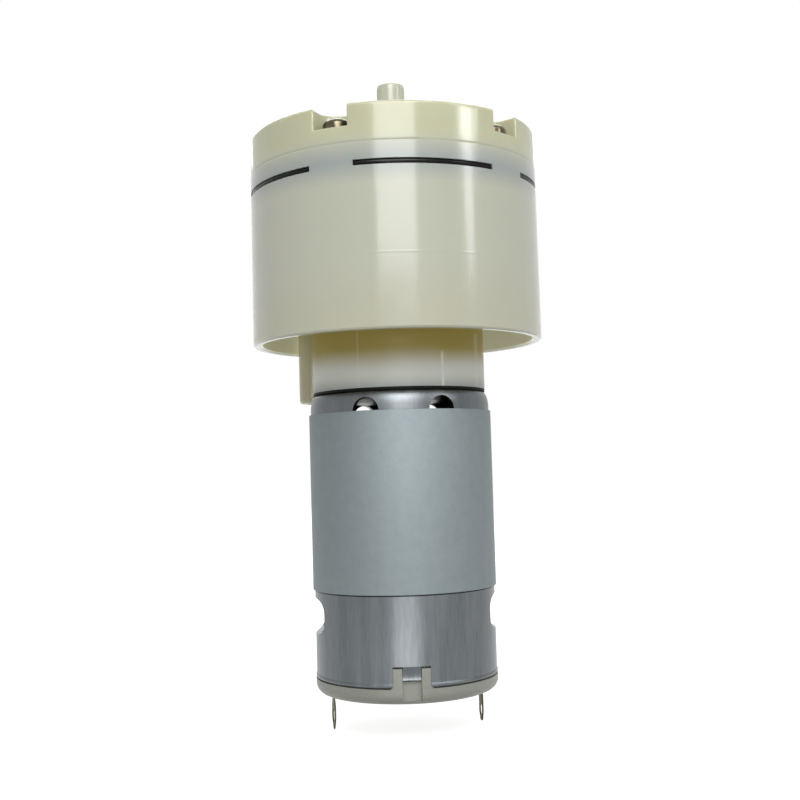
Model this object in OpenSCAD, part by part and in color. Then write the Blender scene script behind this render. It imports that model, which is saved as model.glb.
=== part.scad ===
// Mini diaphragm air pump: a five-cup pump head on a small brushed motor.
// The origin is on the shaft axis at the middle of the steel ring round the motor. The pump head is up.
// Angles run round the axis from the front (-Y), and positive angles go towards +X.

/* [Motor can] */
// Outer diameter of the motor can
can_d = 36.3; // [35:0.1:38]
// Wall of the can
can_wall = 1.2; // [0.8:0.1:1.6]
// Length of the can from its open edge to its flat face
can_len = 56.4; // [54:0.1:60]
// How far the can draws in from its side to its face, over the shoulder
can_round = 1.3; // [1:0.1:2]
// Height of the can's drawn-in shoulder
shoulder_h = 3; // [2:0.1:3.6]
// How far the can's open edge flares out, to the end cap's size
can_flare = 0.15; // [0.05:0.05:0.3]
// Diameter of the boss that holds the front bearing
boss_d = 13; // [12:0.1:14]
// Height of the boss above the face
boss_h = 3.2; // [2.6:0.1:4]
// Turn of the motor about its axis, against the pump head
motor_turn = 3; // [-10:1:10]
// Diameter of the round vents in the can's shoulder
vent_d = 5.4; // [4:0.1:6.4]
// Angle from the middle of a pair of vents to each vent
vent_spread = 24; // [20:0.5:34]
// Distance from the can's face down to the middle of a vent
vent_drop = 4; // [3.4:0.1:4.6]
// Width of the oval side windows
window_w = 16; // [12:0.1:18]
// Height of the oval side windows
window_h = 7.2; // [6:0.1:8.2]
// Squareness of the side windows: 2 is an ellipse, and more is nearer to a rectangle
window_square = 3.5; // [2:0.1:5]
// Distance from the can's open edge up to the middle of a window
window_up = 12.4; // [12:0.1:13]
// Distance between the two motor screws
screw_pitch = 25; // [22:0.1:26]

/* [Steel ring] */
// Length of the rolled steel ring
ring_len = 35; // [30:0.1:36]
// Wall of the ring
ring_wall = 0.35; // [0.3:0.05:1]
// Distance from the can's open edge up to the ring
ring_up = 17.5; // [17:0.1:18]
// Gap of the ring's butt joint, at the back
ring_split = 0.8; // [0.3:0.1:2]

/* [Motor end cap] */
// Height of the end cap's flange below the can
cap_h = 3; // [2.6:0.1:4]
// Width of the keys that fill the can's notches
key_w = 7.2; // [6:0.1:9]
// Height of the keys above the can's open edge
key_h = 3.8; // [3:0.1:5]
// Room above the keys in the can's notches, beside the tabs
key_room = 0.4; // [0.2:0.05:0.6]
// Radius of the notches' lower corners
notch_round = 0.9; // [0.4:0.1:1.2]
// Width of the can's bent tabs
tab_w = 3.5; // [2:0.1:4]
// Turn of the brushes and terminals from the line square to the keys
brush_turn = 5; // [0:1:8]
// Width of a terminal blade
terminal_w = 2.3; // [2:0.1:3]
// Thickness of a terminal blade
terminal_t = 0.3; // [0.25:0.05:0.6]
// Length of a terminal below the end cap
terminal_len = 7.3; // [5:0.1:9]
// Distance of the terminals from the axis
terminal_r = 15; // [14.8:0.1:15.4]

/* [Rotor] */
// Diameter of the shaft
shaft_d = 3.17; // [3:0.01:3.5]
// Length of shaft above the can's face
shaft_up = 14.2; // [12:0.1:16]
// Diameter of the armature
armature_d = 23.2; // [22:0.1:23.6]
// Length of the steel core
core_len = 26; // [22:0.1:28]
// Wall of the arc magnets
magnet_wall = 4.6; // [4:0.1:4.8]
// Length of the arc magnets
magnet_len = 32; // [28:0.1:33]
// Diameter of the commutator
commutator_d = 9.2; // [8.6:0.1:10]

/* [Pump housing] */
// Outer diameter at the housing's top, where the valve plate sits
head_d = 58.5; // [56:0.1:64]
// How much wider the housing's radius is at the skirt's rim than at the top
skirt_draft = 0.15; // [0:0.05:0.5]
// Wall of the housing
case_wall = 1.8; // [1.4:0.1:2]
// Outer diameter of the neck on the motor
neck_d = 35; // [34:0.1:36]
// Wall of the neck
neck_wall = 2; // [1.4:0.1:2.4]
// Height of the neck from the motor up to the top of the deck
neck_h = 24.1; // [23:0.1:26]
// Thickness of the deck and of the neck's floor
deck_t = 2.5; // [2:0.1:3]
// Distance from the top of the deck down to the skirt's rim
skirt_drop = 14.4; // [8:0.1:16]
// Height of the crank case above the deck
case_h = 15.8; // [15.5:0.1:18]
// Thickness of the seal between the motor and the neck
seal_t = 0.5; // [0.3:0.05:1]

/* [Nozzles] */
// Outer diameter of both nozzles
nozzle_d = 5.9; // [4.5:0.1:6.4]
// Bore of both nozzles
nozzle_bore = 3; // [2:0.1:3.5]
// Height of the outlet nozzle above the cover
outlet_h = 12.1; // [8:0.1:16]
// Gap between the inlet nozzle and the housing's wall
inlet_gap = 0.7; // [0.6:0.1:2]
// Angle of the inlet nozzle round the axis
inlet_angle = -128; // [-136:1:-120]
// Length of the inlet nozzle below the skirt's rim
inlet_drop = 10.8; // [6:0.1:14]

/* [Cover and valve plate] */
// Thickness of the diaphragm's rim, seen in the slots
rubber_t = 1.1; // [0.7:0.05:1.2]
// Thickness of the valve plate
plate_t = 3.3; // [3:0.1:4]
// Height of the cover
cover_h = 7.5; // [7:0.1:9]
// Depth of the screw pockets in the cover
pocket_depth = 4.3; // [3:0.1:4.6]
// Width of the screw pockets
pocket_w = 6.9; // [6.6:0.1:8.6]
// Distance from the head's side to the middle of a cover screw
screw_edge = 3.55; // [3.4:0.05:3.8]
// Angle of the first cover screw
screw_angle = -23; // [-30:0.5:-16]
// Width of the posts that break the slot, round the axis, in degrees
post_angle = 17.5; // [16:0.5:20]
// Length of a cover screw under its head
cover_screw_len = 14; // [12:0.5:16]

/* [Pump works] */
// Tilt of the crank pin, which sets the stroke
tilt = 5; // [3:0.5:6]
// Height of the wobble plate's centre above the deck
pivot_up = 5.5; // [5:0.1:6]
// Radius of the circle of cups
cup_r = 15; // [14.6:0.1:15.4]
// Outer diameter of a cup
cup_d = 14; // [12:0.1:14.6]
// Wall of a cup
cup_wall = 0.8; // [0.6:0.05:1]
// Diameter of the crank pin
pin_d = 3; // [2.5:0.1:3.2]
// Length of the crank pin
pin_len = 16; // [15:0.1:17]
// Thickness of the wobble plate's arms
arm_t = 2.2; // [1.8:0.1:2.6]

/* [Hidden] */
$fn = 72;

// Clearances: pressed parts, parts that only sit together, and parts that turn
press = 0.01;
gap = 0.1;
run = 0.035;
// A cut runs this far past the face that it opens
over = 1;

// Heights along the motor
ring_z0 = -ring_len / 2;
ring_z1 = ring_len / 2;
can_z0 = ring_z0 - ring_up;
can_z1 = can_z0 + can_len;
can_r = can_d / 2;
can_ri = can_r - can_wall;
// Radius of the rolled lip at the can's open edge, and of the corner under the can's face
lip_round = 0.65;
roof_round = 0.8;
notch_h = key_h + key_room;
cap_r = can_r + can_flare;
cap_z0 = can_z0 - cap_h;
cap_floor = 2.2;
boss_z1 = can_z1 + boss_h;
vent_z = can_z1 - vent_drop;
window_z = can_z0 + window_up;
shaft_r = shaft_d / 2;
shaft_z1 = can_z1 + shaft_up;
magnet_ri = can_ri - press - magnet_wall;
armature_r = armature_d / 2;
bearing_r = boss_d / 2 - can_wall;
rear_boss_r = 6;
rear_boss_drop = 1.6;
rear_bearing_r = 4.2;
rear_z0 = cap_z0 - rear_boss_drop;
rear_wall = 1;
rear_bearing_h = 4.4;
commutator_r = commutator_d / 2;
commutator_z0 = can_z0 + 2.6;
commutator_h = 7.6;
brush_z = commutator_z0 + 3.2;
coil_end = 4.3;

// Heights along the pump head
neck_z0 = can_z1 + seal_t;
neck_r = neck_d / 2;
neck_ri = neck_r - neck_wall;
deck_z1 = neck_z0 + neck_h;
skirt_z0 = deck_z1 - skirt_drop;
case_z1 = deck_z1 + case_h;
head_r = head_d / 2;
skirt_r = head_r + skirt_draft;
case_ri = head_r - case_wall;
plate_z0 = case_z1 + rubber_t;
plate_z1 = plate_z0 + plate_t;
cover_z1 = plate_z1 + cover_h;
pocket_z = cover_z1 - pocket_depth;
outlet_z1 = cover_z1 + outlet_h;
inlet_z0 = skirt_z0 - inlet_drop;
nozzle_r = nozzle_d / 2;
inlet_r = case_ri - nozzle_r - inlet_gap;
seat_t = 2.5;
seat_z0 = case_z1 - seat_t;
ledge_w = 1.2;
ledge_h = 1.5;
pivot_z = deck_z1 + pivot_up;

// Fasteners
screw_shank_r = 1.4;
screw_head_r = 2.75;
screw_head_h = 2.4;
motor_shank_r = 1.45;
motor_head_r = 2.6;
motor_head_h = 1.9;
post_r = 3.2;
screw_r = head_r - screw_edge;
// The motor screws stand this far past the can's wall
past = 1;
motor_screw_len = deck_t + seal_t + can_wall + past;

// Pump works
cup_count = 5;
cup_step = 360 / cup_count;
cup_angle = screw_angle + cup_step / 2;
cup_open_r = cup_d / 2 - cup_wall;
pad_r = 4.2;
stem_r = 1.2;
hub_r = 4.6;
hub_down = 5.5;
hub_up = 2.6;
pin_r = pin_d / 2;
pin_up = 1.2;
chamber_r = 10.9;
chamber_wall = 1.2;
plenum_r = screw_r - pocket_w / 2 - gap;
plenum_h = 3;
valve_r = 3.4;
transfer_hole_r = 1.2;
transfer_r = plenum_r - transfer_hole_r - 0.8;
outlet_hole_r = 9.7;

// Puts its children at an angle round the axis, at a radius
module at_angle(angle, radius = 0)
    rotate([0, 0, angle]) translate([0, -radius, 0]) children();

// Repeats its children at each cup, or at each screw
module round_the_head(first, radius)
    for (k = [0 : cup_count - 1]) at_angle(first + k * cup_step, radius) children();

// Points of an arc in the plane of a profile, from one angle to another
function arc(cx, cy, r, a0, a1, n = 6) =
    [for (i = [0 : n]) [cx + r * cos(a0 + (a1 - a0) * i / n), cy + r * sin(a0 + (a1 - a0) * i / n)]];

module ring(r_out, r_in, z0, z1)
    translate([0, 0, z0]) difference() {
        cylinder(r = r_out, h = z1 - z0);
        translate([0, 0, -over]) cylinder(r = r_in, h = z1 - z0 + 2 * over);
    }

// Part of a ring, centred on an angle
module ring_sector(r_out, r_in, z0, z1, angle, span)
    rotate([0, 0, angle - 90 - span / 2]) translate([0, 0, z0])
        rotate_extrude(angle = span) translate([r_in, 0]) square([r_out - r_in, z1 - z0]);

// A pan head screw, point down, with its head's underside at z = 0 and a cross recess
module pan_screw(head_r, head_h, shank_r, len) {
    dome = head_h * 0.55;
    recess = head_r * 0.5;
    difference() {
        rotate_extrude()
            polygon(concat([[0, -len], [shank_r * 0.35, -len], [shank_r, -len + shank_r], [shank_r, 0],
                [head_r, 0], [head_r, head_h - dome]],
                [for (t = [15 : 15 : 75]) [head_r * cos(t), head_h - dome + dome * sin(t)]],
                [[0, head_h]]));
        for (turn = [0, 90]) rotate([0, 0, turn])
            translate([-recess, -head_r * 0.12, head_h * 0.45]) cube([2 * recess, head_r * 0.24, head_h]);
    }
}

// Outline of the can, cut down its axis
function can_profile() = concat(
    [[can_ri, can_z0]],
    arc(cap_r - lip_round, can_z0 + lip_round, lip_round, -90, acos(1 - can_flare / lip_round), 8),
    [for (t = [0 : 9 : 90]) [can_r - can_round * (1 - cos(t)), can_z1 - shoulder_h * (1 - sin(t))]],
    [[boss_d / 2, can_z1]],
    arc(boss_d / 2 - 0.6, boss_z1 - 0.6, 0.6, 0, 90, 3),
    [[shaft_r + 0.6, boss_z1], [shaft_r + 0.6, boss_z1 - 0.8], [bearing_r, boss_z1 - 0.8],
    [bearing_r, can_z1 - can_wall]],
    arc(can_ri - roof_round, can_z1 - can_wall - roof_round, roof_round, 90, 0));

// Shape of a notch in the can's edge, or of the key in it, seen from outside: its lower corners are rounded out
module notch_shape(w, h) rotate([90, 0, 0]) linear_extrude(2 * can_r) polygon(concat(
    [[-w / 2 - notch_round, -over], [w / 2 + notch_round, -over]],
    arc(w / 2 + notch_round, notch_round, notch_round, 270, 180),
    [[w / 2, h], [-w / 2, h]],
    arc(-w / 2 - notch_round, notch_round, notch_round, 0, -90)));

// Bends a circle's coordinate towards a rectangle's
function squared(c) = sign(c) * pow(abs(c), 2 / window_square);

// Oval hole through the can's side, square to the radius
module window_cut() {
    steps = 48;
    oval = [for (i = [0 : steps - 1]) [window_w / 2 * squared(cos(360 * i / steps)),
        window_h / 2 * squared(sin(360 * i / steps))]];
    translate([0, 0, window_z]) rotate([90, 0, 0]) linear_extrude(can_r) polygon(oval);
}

// The can's tab, hung from the top of the notch: it is bent into the key, and its round end turns out again
module bent_tab() {
    tab_len = 2.6;
    tab_t = can_wall * 0.5;
    tab_in = 0.1;
    bend = 0.7;
    bend_turn = 105;
    steps = 8;
    tab_z = can_z0 + notch_h;
    bent = [for (i = [0 : steps]) [-can_r + tab_in + bend * sin(bend_turn * i / steps), tab_z - tab_len * i / steps]];
    translate([-tab_w / 2, 0, 0]) rotate([90, 0, 90]) linear_extrude(tab_w) polygon(concat(
        [bent[0] + [0, tab_in]], bent,
        arc(bent[steps][0] + tab_t / 2, bent[steps][1], tab_t / 2, 210, 330, 4),
        [for (i = [steps : -1 : 0]) bent[i] + [tab_t, 0]],
        [bent[0] + [tab_t, tab_in]]));
}

module motor_can() color("#8c9194") rotate([0, 0, motor_turn]) {
    difference() {
        rotate_extrude() polygon(can_profile());
        for (side = [0, 180], lean = [-1, 1]) at_angle(side + lean * vent_spread, can_r + over)
            translate([0, 0, vent_z]) rotate([-90, 0, 0]) cylinder(d = vent_d, h = can_round + can_wall + over);
        for (side = [90, -90]) rotate([0, 0, side]) translate([0, -can_r / 2, 0]) window_cut();
        for (side = [0, 180]) rotate([0, 0, side])
            translate([0, -can_r / 2, can_z0]) notch_shape(key_w, notch_h);
        for (x = [-1, 1]) translate([x * screw_pitch / 2, 0, can_z1 - can_wall - over])
            cylinder(r = motor_shank_r + gap / 2, h = can_wall + 2 * over);
    }
    for (side = [0, 180]) rotate([0, 0, side]) bent_tab();
}

module flux_ring() color("#8e999d") difference() {
    ring(can_r + press + ring_wall, can_r + press, ring_z0, ring_z1);
    translate([-ring_split / 2, 0, ring_z0 - over]) cube([ring_split, can_r + 2 * over, ring_len + 2 * over]);
}

// Where the brushes and terminals stand, on one side or the other
module at_brush(side) rotate([0, 0, motor_turn + brush_turn + side * 90]) children();

brush_w = 3;
brush_h = 4;
brush_len = 5.4;
brush_r = commutator_r + gap;
holder_wall = 0.4;
holder_r0 = 6.6;
holder_r1 = terminal_r - terminal_t / 2;
brush_travel = 1.5;
tower_r0 = 7.4;
tower_r1 = terminal_r - 1.2;
tower_wall = 1.4;
slot_gap = 0.1;

// Space that a brush holder fills, grown by a clearance
module holder_space(grow)
    translate([-brush_w / 2 - run - holder_wall - grow, -holder_r1 - grow, brush_z - brush_h / 2 - run - holder_wall - grow])
        cube([brush_w + 2 * (run + holder_wall + grow), holder_r1 - holder_r0 + 2 * grow,
            brush_h + 2 * (run + holder_wall + grow)]);

module end_cap() color("#a9aba1") {
    cap_round = 2;
    skirt_h = 5;
    skirt_wall = 1.4;
    cap_ri = can_ri - press - skirt_wall;
    pad_h = 0.4;
    pad_past = 1.1;
    pad_r0 = terminal_r - 2.2;
    difference() {
        union() {
            rotate([0, 0, motor_turn]) {
                rotate_extrude() polygon(concat(
                    [[rear_bearing_r + press, rear_z0 + rear_wall], [shaft_r + 0.8, rear_z0 + rear_wall],
                    [shaft_r + 0.8, rear_z0], [rear_boss_r, rear_z0], [rear_boss_r, cap_z0]],
                    arc(cap_r - cap_round, cap_z0 + cap_round, cap_round, -90, 0),
                    [[cap_r, can_z0], [can_ri - press, can_z0], [can_ri - press, can_z0 + skirt_h],
                    [cap_ri, can_z0 + skirt_h], [cap_ri, cap_z0 + cap_floor],
                    [rear_bearing_r + press, cap_z0 + cap_floor]]));
                for (side = [0, 180]) rotate([0, 0, side]) intersection() {
                    translate([0, -can_r / 2, can_z0]) notch_shape(key_w - gap, key_h);
                    ring(can_r, cap_ri + press, can_z0 - over, can_z0 + skirt_h);
                }
            }
            for (side = [-1, 1]) at_brush(side) {
                translate([-brush_w / 2 - tower_wall, -tower_r1, cap_z0 + cap_floor - press])
                    cube([brush_w + 2 * tower_wall, tower_r1 - tower_r0,
                        brush_z + brush_h / 2 + tower_wall - cap_z0 - cap_floor]);
                // Pad on the underside that stiffens the terminal's root
                translate([-terminal_w, -terminal_r - pad_past, cap_z0 - pad_h])
                    cube([2 * terminal_w, terminal_r + pad_past - pad_r0, pad_h + gap]);
            }
        }
        // Channel of each key, which the can's tab is bent into
        for (side = [0, 180]) rotate([0, 0, motor_turn + side])
            translate([-tab_w / 2 - gap, -can_r - over, cap_z0 + 0.7]) cube([tab_w + 2 * gap, over + 1.5, cap_h + key_h + over]);
        for (side = [-1, 1]) at_brush(side) {
            holder_space(press);
            translate([-terminal_w / 2 - slot_gap, -terminal_r - terminal_t / 2 - slot_gap, cap_z0 - over])
                cube([terminal_w + 2 * slot_gap, terminal_t + 2 * slot_gap, cap_h + skirt_h + 2 * over]);
        }
    }
}

// A flat blade with a round tip and a long eye
module terminal(side) color("#b8a878") at_brush(side) translate([0, -terminal_r + terminal_t / 2, 0]) {
    tip_r = terminal_w * 0.3;
    tip_z = cap_z0 - terminal_len + tip_r;
    eye_r = terminal_w * 0.3;
    eye_h = terminal_len * 0.16;
    eye_z = cap_z0 - terminal_len * 0.67;
    top_z = brush_z + brush_h / 2 + holder_wall;
    rotate([90, 0, 0]) linear_extrude(terminal_t) difference() {
        polygon(concat([[-terminal_w / 2, top_z], [-terminal_w / 2, eye_z]],
            arc(0, tip_z, tip_r, 195, 345, 8), [[terminal_w / 2, eye_z], [terminal_w / 2, top_z]]));
        polygon(concat(arc(0, eye_z + eye_h - eye_r, eye_r, 0, 180, 10), arc(0, eye_z - eye_h + eye_r, eye_r, 180, 360, 10)));
    }
}

module brush_holder(side) color("#c9a24a") at_brush(side) difference() {
    holder_space(0);
    translate([-brush_w / 2 - run, -holder_r1 + holder_wall, brush_z - brush_h / 2 - run])
        cube([brush_w + 2 * run, holder_r1, brush_h + 2 * run]);
}

module brush(side) color("#3a3a3c") at_brush(side) difference() {
    translate([-brush_w / 2, -brush_r - brush_len, brush_z - brush_h / 2]) cube([brush_w, brush_len + 1, brush_h]);
    translate([0, 0, brush_z - brush_h]) cylinder(r = brush_r, h = 2 * brush_h);
}

// A coil spring from the brush's back to the holder's end, as a stack of close turns
module brush_spring(side) color("#9a9c9e") at_brush(side) {
    wire = 0.35;
    spring_r = brush_w / 2 - wire;
    r0 = brush_r + brush_len + gap / 2;
    r1 = holder_r1 - holder_wall - gap / 2;
    turns = 6;
    pitch = (r1 - r0 - wire) / turns;
    translate([0, -r0 - wire / 2, brush_z]) rotate([90, 0, 0]) {
        for (i = [0 : turns]) translate([0, 0, i * pitch])
            rotate_extrude() translate([spring_r, 0]) circle(d = wire, $fn = 16);
        translate([spring_r, 0, 0]) cylinder(d = wire * 0.8, h = turns * pitch, $fn = 16);
    }
}

module magnet(side) color("#4a4c50") {
    magnet_angle = 126;
    ring_sector(can_ri - press, magnet_ri, -magnet_len / 2, magnet_len / 2, motor_turn + side * 90, magnet_angle);
}

// Bent steel strips that push the magnets apart, one in each gap
module magnet_clips() color("#7d8184") {
    clip_end = 2;
    clip_len = magnet_len - 2 * clip_end;
    clip_t = 0.6;
    clip_angle = 52;
    lip_angle = 2;
    lip = 2.6;
    clip_r = can_ri - press;
    for (side = [0, 180]) {
        ring_sector(clip_r, clip_r - clip_t, -clip_len / 2, clip_len / 2, motor_turn + side, clip_angle);
        for (edge = [-1, 1])
            ring_sector(clip_r, clip_r - lip, -clip_len / 2, clip_len / 2,
                motor_turn + side + edge * (clip_angle - lip_angle) / 2, lip_angle);
    }
}

module front_bearing() color("#a98f5c")
    ring(bearing_r - press, shaft_r + run, can_z1 - can_wall, boss_z1 - 0.8);

module rear_bearing() color("#a98f5c")
    ring(rear_bearing_r, shaft_r + run, rear_z0 + rear_wall, rear_z0 + rear_wall + rear_bearing_h);

module motor_seal() color("#151515") difference() {
    ring(neck_r - 0.05, boss_d / 2 + 3 * gap, can_z1, neck_z0);
    rotate([0, 0, motor_turn]) for (x = [-1, 1]) translate([x * screw_pitch / 2, 0, can_z1 - over])
        cylinder(r = motor_shank_r + 3 * gap, h = seal_t + 2 * over);
}

module motor_shaft() color("#c4c8ca") {
    shaft_z0 = rear_z0 + rear_wall + gap;
    chamfer = 0.4;
    rotate_extrude() polygon([[0, shaft_z0], [shaft_r - chamfer, shaft_z0], [shaft_r, shaft_z0 + chamfer],
        [shaft_r, shaft_z1 - chamfer], [shaft_r - chamfer, shaft_z1], [0, shaft_z1]]);
}

pole_count = 5;
pole_step = 360 / pole_count;
tooth_w = 4;
tooth_tip = 1.7;
tooth_angle = 64;
hub_core_r = 5;

// Steel core with five T-shaped teeth
module armature_core() color("#6f7478") difference() {
    union() {
        cylinder(r = hub_core_r, h = core_len, center = true);
        for (k = [0 : pole_count - 1]) rotate([0, 0, k * pole_step]) {
            translate([-tooth_w / 2, -armature_r + tooth_tip / 2, -core_len / 2 + gap])
                cube([tooth_w, armature_r - tooth_tip / 2 - shaft_r - 1, core_len - 2 * gap]);
            ring_sector(armature_r, armature_r - tooth_tip, -core_len / 2, core_len / 2, 0, tooth_angle);
        }
    }
    cylinder(r = shaft_r + press, h = core_len + 2 * over, center = true);
}

// One coil round each tooth, as a rounded loop of wire
module windings() color("#b46a3c") {
    coil_t = 2;
    coil_r0 = 6.1;
    coil_r1 = sqrt(pow(armature_r - tooth_tip, 2) - pow(tooth_w / 2 + coil_t + gap, 2)) - gap;
    inner_w = tooth_w + 2 * gap;
    inner_h = core_len + 2 * gap;
    for (k = [0 : pole_count - 1]) rotate([0, 0, k * pole_step]) translate([0, -coil_r0, 0]) rotate([90, 0, 0])
        linear_extrude(coil_r1 - coil_r0) difference() {
            union() {
                square([inner_w + 2 * coil_t, inner_h + 2 * coil_end - 2 * coil_t], center = true);
                square([inner_w, inner_h + 2 * coil_end], center = true);
                for (x = [-1, 1], y = [-1, 1])
                    translate([x * inner_w / 2, y * (inner_h / 2 + coil_end - coil_t)]) circle(r = coil_t, $fn = 32);
            }
            square([inner_w, inner_h], center = true);
        }
}

bar_t = 1.2;
commutator_ri = commutator_r - bar_t;
core_past = 0.4;

// Five copper bars, each with a hook for its wire
module commutator() color("#c07a45") {
    bar_angle = 66;
    hook_angle = 20;
    hook_out = 0.9;
    hook_t = 1;
    bar_z1 = commutator_z0 + commutator_h;
    for (k = [0 : pole_count - 1]) {
        ring_sector(commutator_r, commutator_ri, commutator_z0, bar_z1, (k + 0.5) * pole_step, bar_angle);
        ring_sector(commutator_r + hook_out, commutator_ri, bar_z1 - hook_t - gap, bar_z1 - gap,
            (k + 0.5) * pole_step, hook_angle);
    }
}

module commutator_core() color("#2c2a28")
    ring(commutator_ri - press, shaft_r + press, commutator_z0 - core_past, commutator_z0 + commutator_h + core_past);

// Fibre washers and a spacer tube that set the shaft's end float
module shaft_washers() color("#d8d2bc") {
    washer_r = 3.4;
    core_z1 = core_len / 2;
    ring(washer_r - 0.6, shaft_r + press, core_z1, can_z1 - can_wall - 0.3);
    ring(washer_r - 0.4, shaft_r + press, rear_z0 + rear_wall + rear_bearing_h + 0.1, commutator_z0 - 0.4);
}

// Pressed on the shaft: a thick disc with a flat for balance, and a hub with the slanted hole of the crank pin
module eccentric() color("#d9d4c4") {
    disc_r = 9;
    disc_h = 5;
    ecc_z0 = boss_z1 + 1.6;
    ecc_hub_r = 5.4;
    ecc_z1 = pivot_z - hub_down - 1.4;
    difference() {
        union() {
            difference() {
                translate([0, 0, ecc_z0]) cylinder(r = disc_r, h = disc_h);
                translate([-disc_r - over, -disc_r, ecc_z0 - over]) cube([disc_r + over - ecc_hub_r, 2 * disc_r, disc_h + 2 * over]);
            }
            translate([0, 0, ecc_z0]) cylinder(r = ecc_hub_r, h = ecc_z1 - ecc_z0);
        }
        translate([0, 0, ecc_z0 - over]) cylinder(r = shaft_r + press, h = shaft_z1 - ecc_z0 + over + gap);
        tilted() translate([0, 0, pin_up - pin_len - gap]) cylinder(r = pin_r + press, h = pin_len + over);
    }
}

// The wobble plate's own frame, whose axis is the crank pin
module tilted() translate([0, 0, pivot_z]) rotate([0, tilt, 0]) children();

module crank_pin() color("#c4c8ca") tilted() {
    chamfer = 0.3;
    rotate_extrude() polygon([[0, pin_up - pin_len], [pin_r - chamfer, pin_up - pin_len],
        [pin_r, pin_up - pin_len + chamfer], [pin_r, pin_up - chamfer], [pin_r - chamfer, pin_up], [0, pin_up]]);
}

// Hub on the crank pin, with one arm and pad for each cup
module wobble_plate() color("#e3dfd0") tilted() {
    arm_w = 6;
    difference() {
        union() {
            translate([0, 0, -hub_down]) cylinder(r = hub_r, h = hub_down + hub_up);
            for (k = [0 : cup_count - 1]) at_angle(cup_angle + k * cup_step) {
                translate([-arm_w / 2, -cup_r, -arm_t / 2]) cube([arm_w, cup_r, arm_t]);
                translate([0, -cup_r, -arm_t / 2]) cylinder(r = pad_r, h = arm_t);
                translate([-0.6, -cup_r + pad_r, -arm_t / 2 - 1.6]) cube([1.2, cup_r - pad_r, 1.7]);
            }
        }
        translate([0, 0, -hub_down - over]) cylinder(r = pin_r + run, h = hub_down + pin_up + over + gap);
        for (k = [0 : cup_count - 1]) at_angle(cup_angle + k * cup_step, cup_r)
            translate([0, 0, -arm_t]) cylinder(r = stem_r + 0.05, h = 2 * arm_t);
    }
}

// Outline of the housing, cut down its axis: neck, deck, case wall and skirt
function housing_profile() = [
    [neck_r, neck_z0], [neck_r, deck_z1 - deck_t],
    [case_ri, deck_z1 - deck_t], [skirt_r - case_wall, skirt_z0 + 0.4], [skirt_r - case_wall + 0.4, skirt_z0],
    [skirt_r - 0.4, skirt_z0], [skirt_r, skirt_z0 + 0.4], [head_r, plate_z0],
    [case_ri, plate_z0], [case_ri, seat_z0], [case_ri - ledge_w, seat_z0], [case_ri - ledge_w, seat_z0 - ledge_h],
    [case_ri, seat_z0 - ledge_h - ledge_w], [case_ri, deck_z1], [neck_ri, deck_z1],
    [neck_ri, neck_z0 + deck_t], [boss_d / 2 + 2 * gap, neck_z0 + deck_t], [boss_d / 2 + 2 * gap, neck_z0]];

module pump_housing() color("#c3c3b2") difference() {
    union() {
        rotate_extrude($fn = 120) polygon(housing_profile());
        round_the_head(screw_angle, screw_r)
            translate([0, 0, deck_z1 - press]) cylinder(r = post_r, h = plate_z0 - deck_z1);
        at_angle(inlet_angle, inlet_r) {
            tube_chamfer = 0.7;
            rotate_extrude() polygon([[0, inlet_z0], [nozzle_r - tube_chamfer, inlet_z0],
                [nozzle_r - 0.2, inlet_z0 + 0.2], [nozzle_r, inlet_z0 + tube_chamfer], [nozzle_r, deck_z1 - deck_t + press], [0, deck_z1 - deck_t + press]]);
        }
    }
    // Slots that the diaphragm's rim fills, between the posts
    round_the_head(cup_angle, 0)
        ring_sector(head_r + over, case_ri - over / 2, case_z1, plate_z0 + over, 0, cup_step - post_angle);
    // Bore of the inlet nozzle, through the deck
    at_angle(inlet_angle, inlet_r) translate([0, 0, inlet_z0 - over])
        cylinder(d = nozzle_bore, h = deck_z1 - inlet_z0 + 2 * over);
    round_the_head(screw_angle, screw_r) translate([0, 0, plate_z0 - cover_screw_len])
        cylinder(r = screw_shank_r + press, h = cover_screw_len + over);
    // Holes for the motor screws, and room for their heads beside the neck's wall
    rotate([0, 0, motor_turn]) for (x = [-1, 1]) translate([x * screw_pitch / 2, 0, neck_z0]) {
        translate([0, 0, -over]) cylinder(r = motor_shank_r + gap, h = deck_t + 2 * over);
        translate([0, 0, deck_t + press]) cylinder(r = motor_head_r + 2 * gap, h = motor_head_h + gap);
    }
}

module motor_screws() color("#9b9fa3")
    rotate([0, 0, motor_turn]) for (x = [-1, 1]) translate([x * screw_pitch / 2, 0, neck_z0 + deck_t])
        pan_screw(motor_head_r, motor_head_h, motor_shank_r, motor_screw_len);

// Plate with a round hole for each cup, notched round the posts
module diaphragm_seat() color("#d5d3c4") difference() {
    translate([0, 0, seat_z0]) cylinder(r = case_ri - gap, h = seat_t);
    round_the_head(cup_angle, cup_r) translate([0, 0, seat_z0 - over]) cylinder(d = cup_d + 0.8, h = seat_t + 2 * over);
    round_the_head(screw_angle, screw_r) translate([0, 0, seat_z0 - over]) cylinder(r = post_r + 2 * gap, h = seat_t + 2 * over);
    round_the_head(screw_angle, transfer_r) translate([0, 0, seat_z0 - over]) cylinder(r = transfer_hole_r, h = seat_t + 2 * over);
}

// Height of a cup's bottom above the pivot: it follows the wobble plate's arm at that angle
function arm_rise(angle) = cup_r * sin(angle) * -sin(tilt) + arm_t / 2;

// Radius of a cup's wall, drawn in from its top to its plug
function cup_neck(t, r_top, r_plug) = r_plug + (r_top - r_plug) * (1 + cos(180 * t)) / 2;

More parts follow.
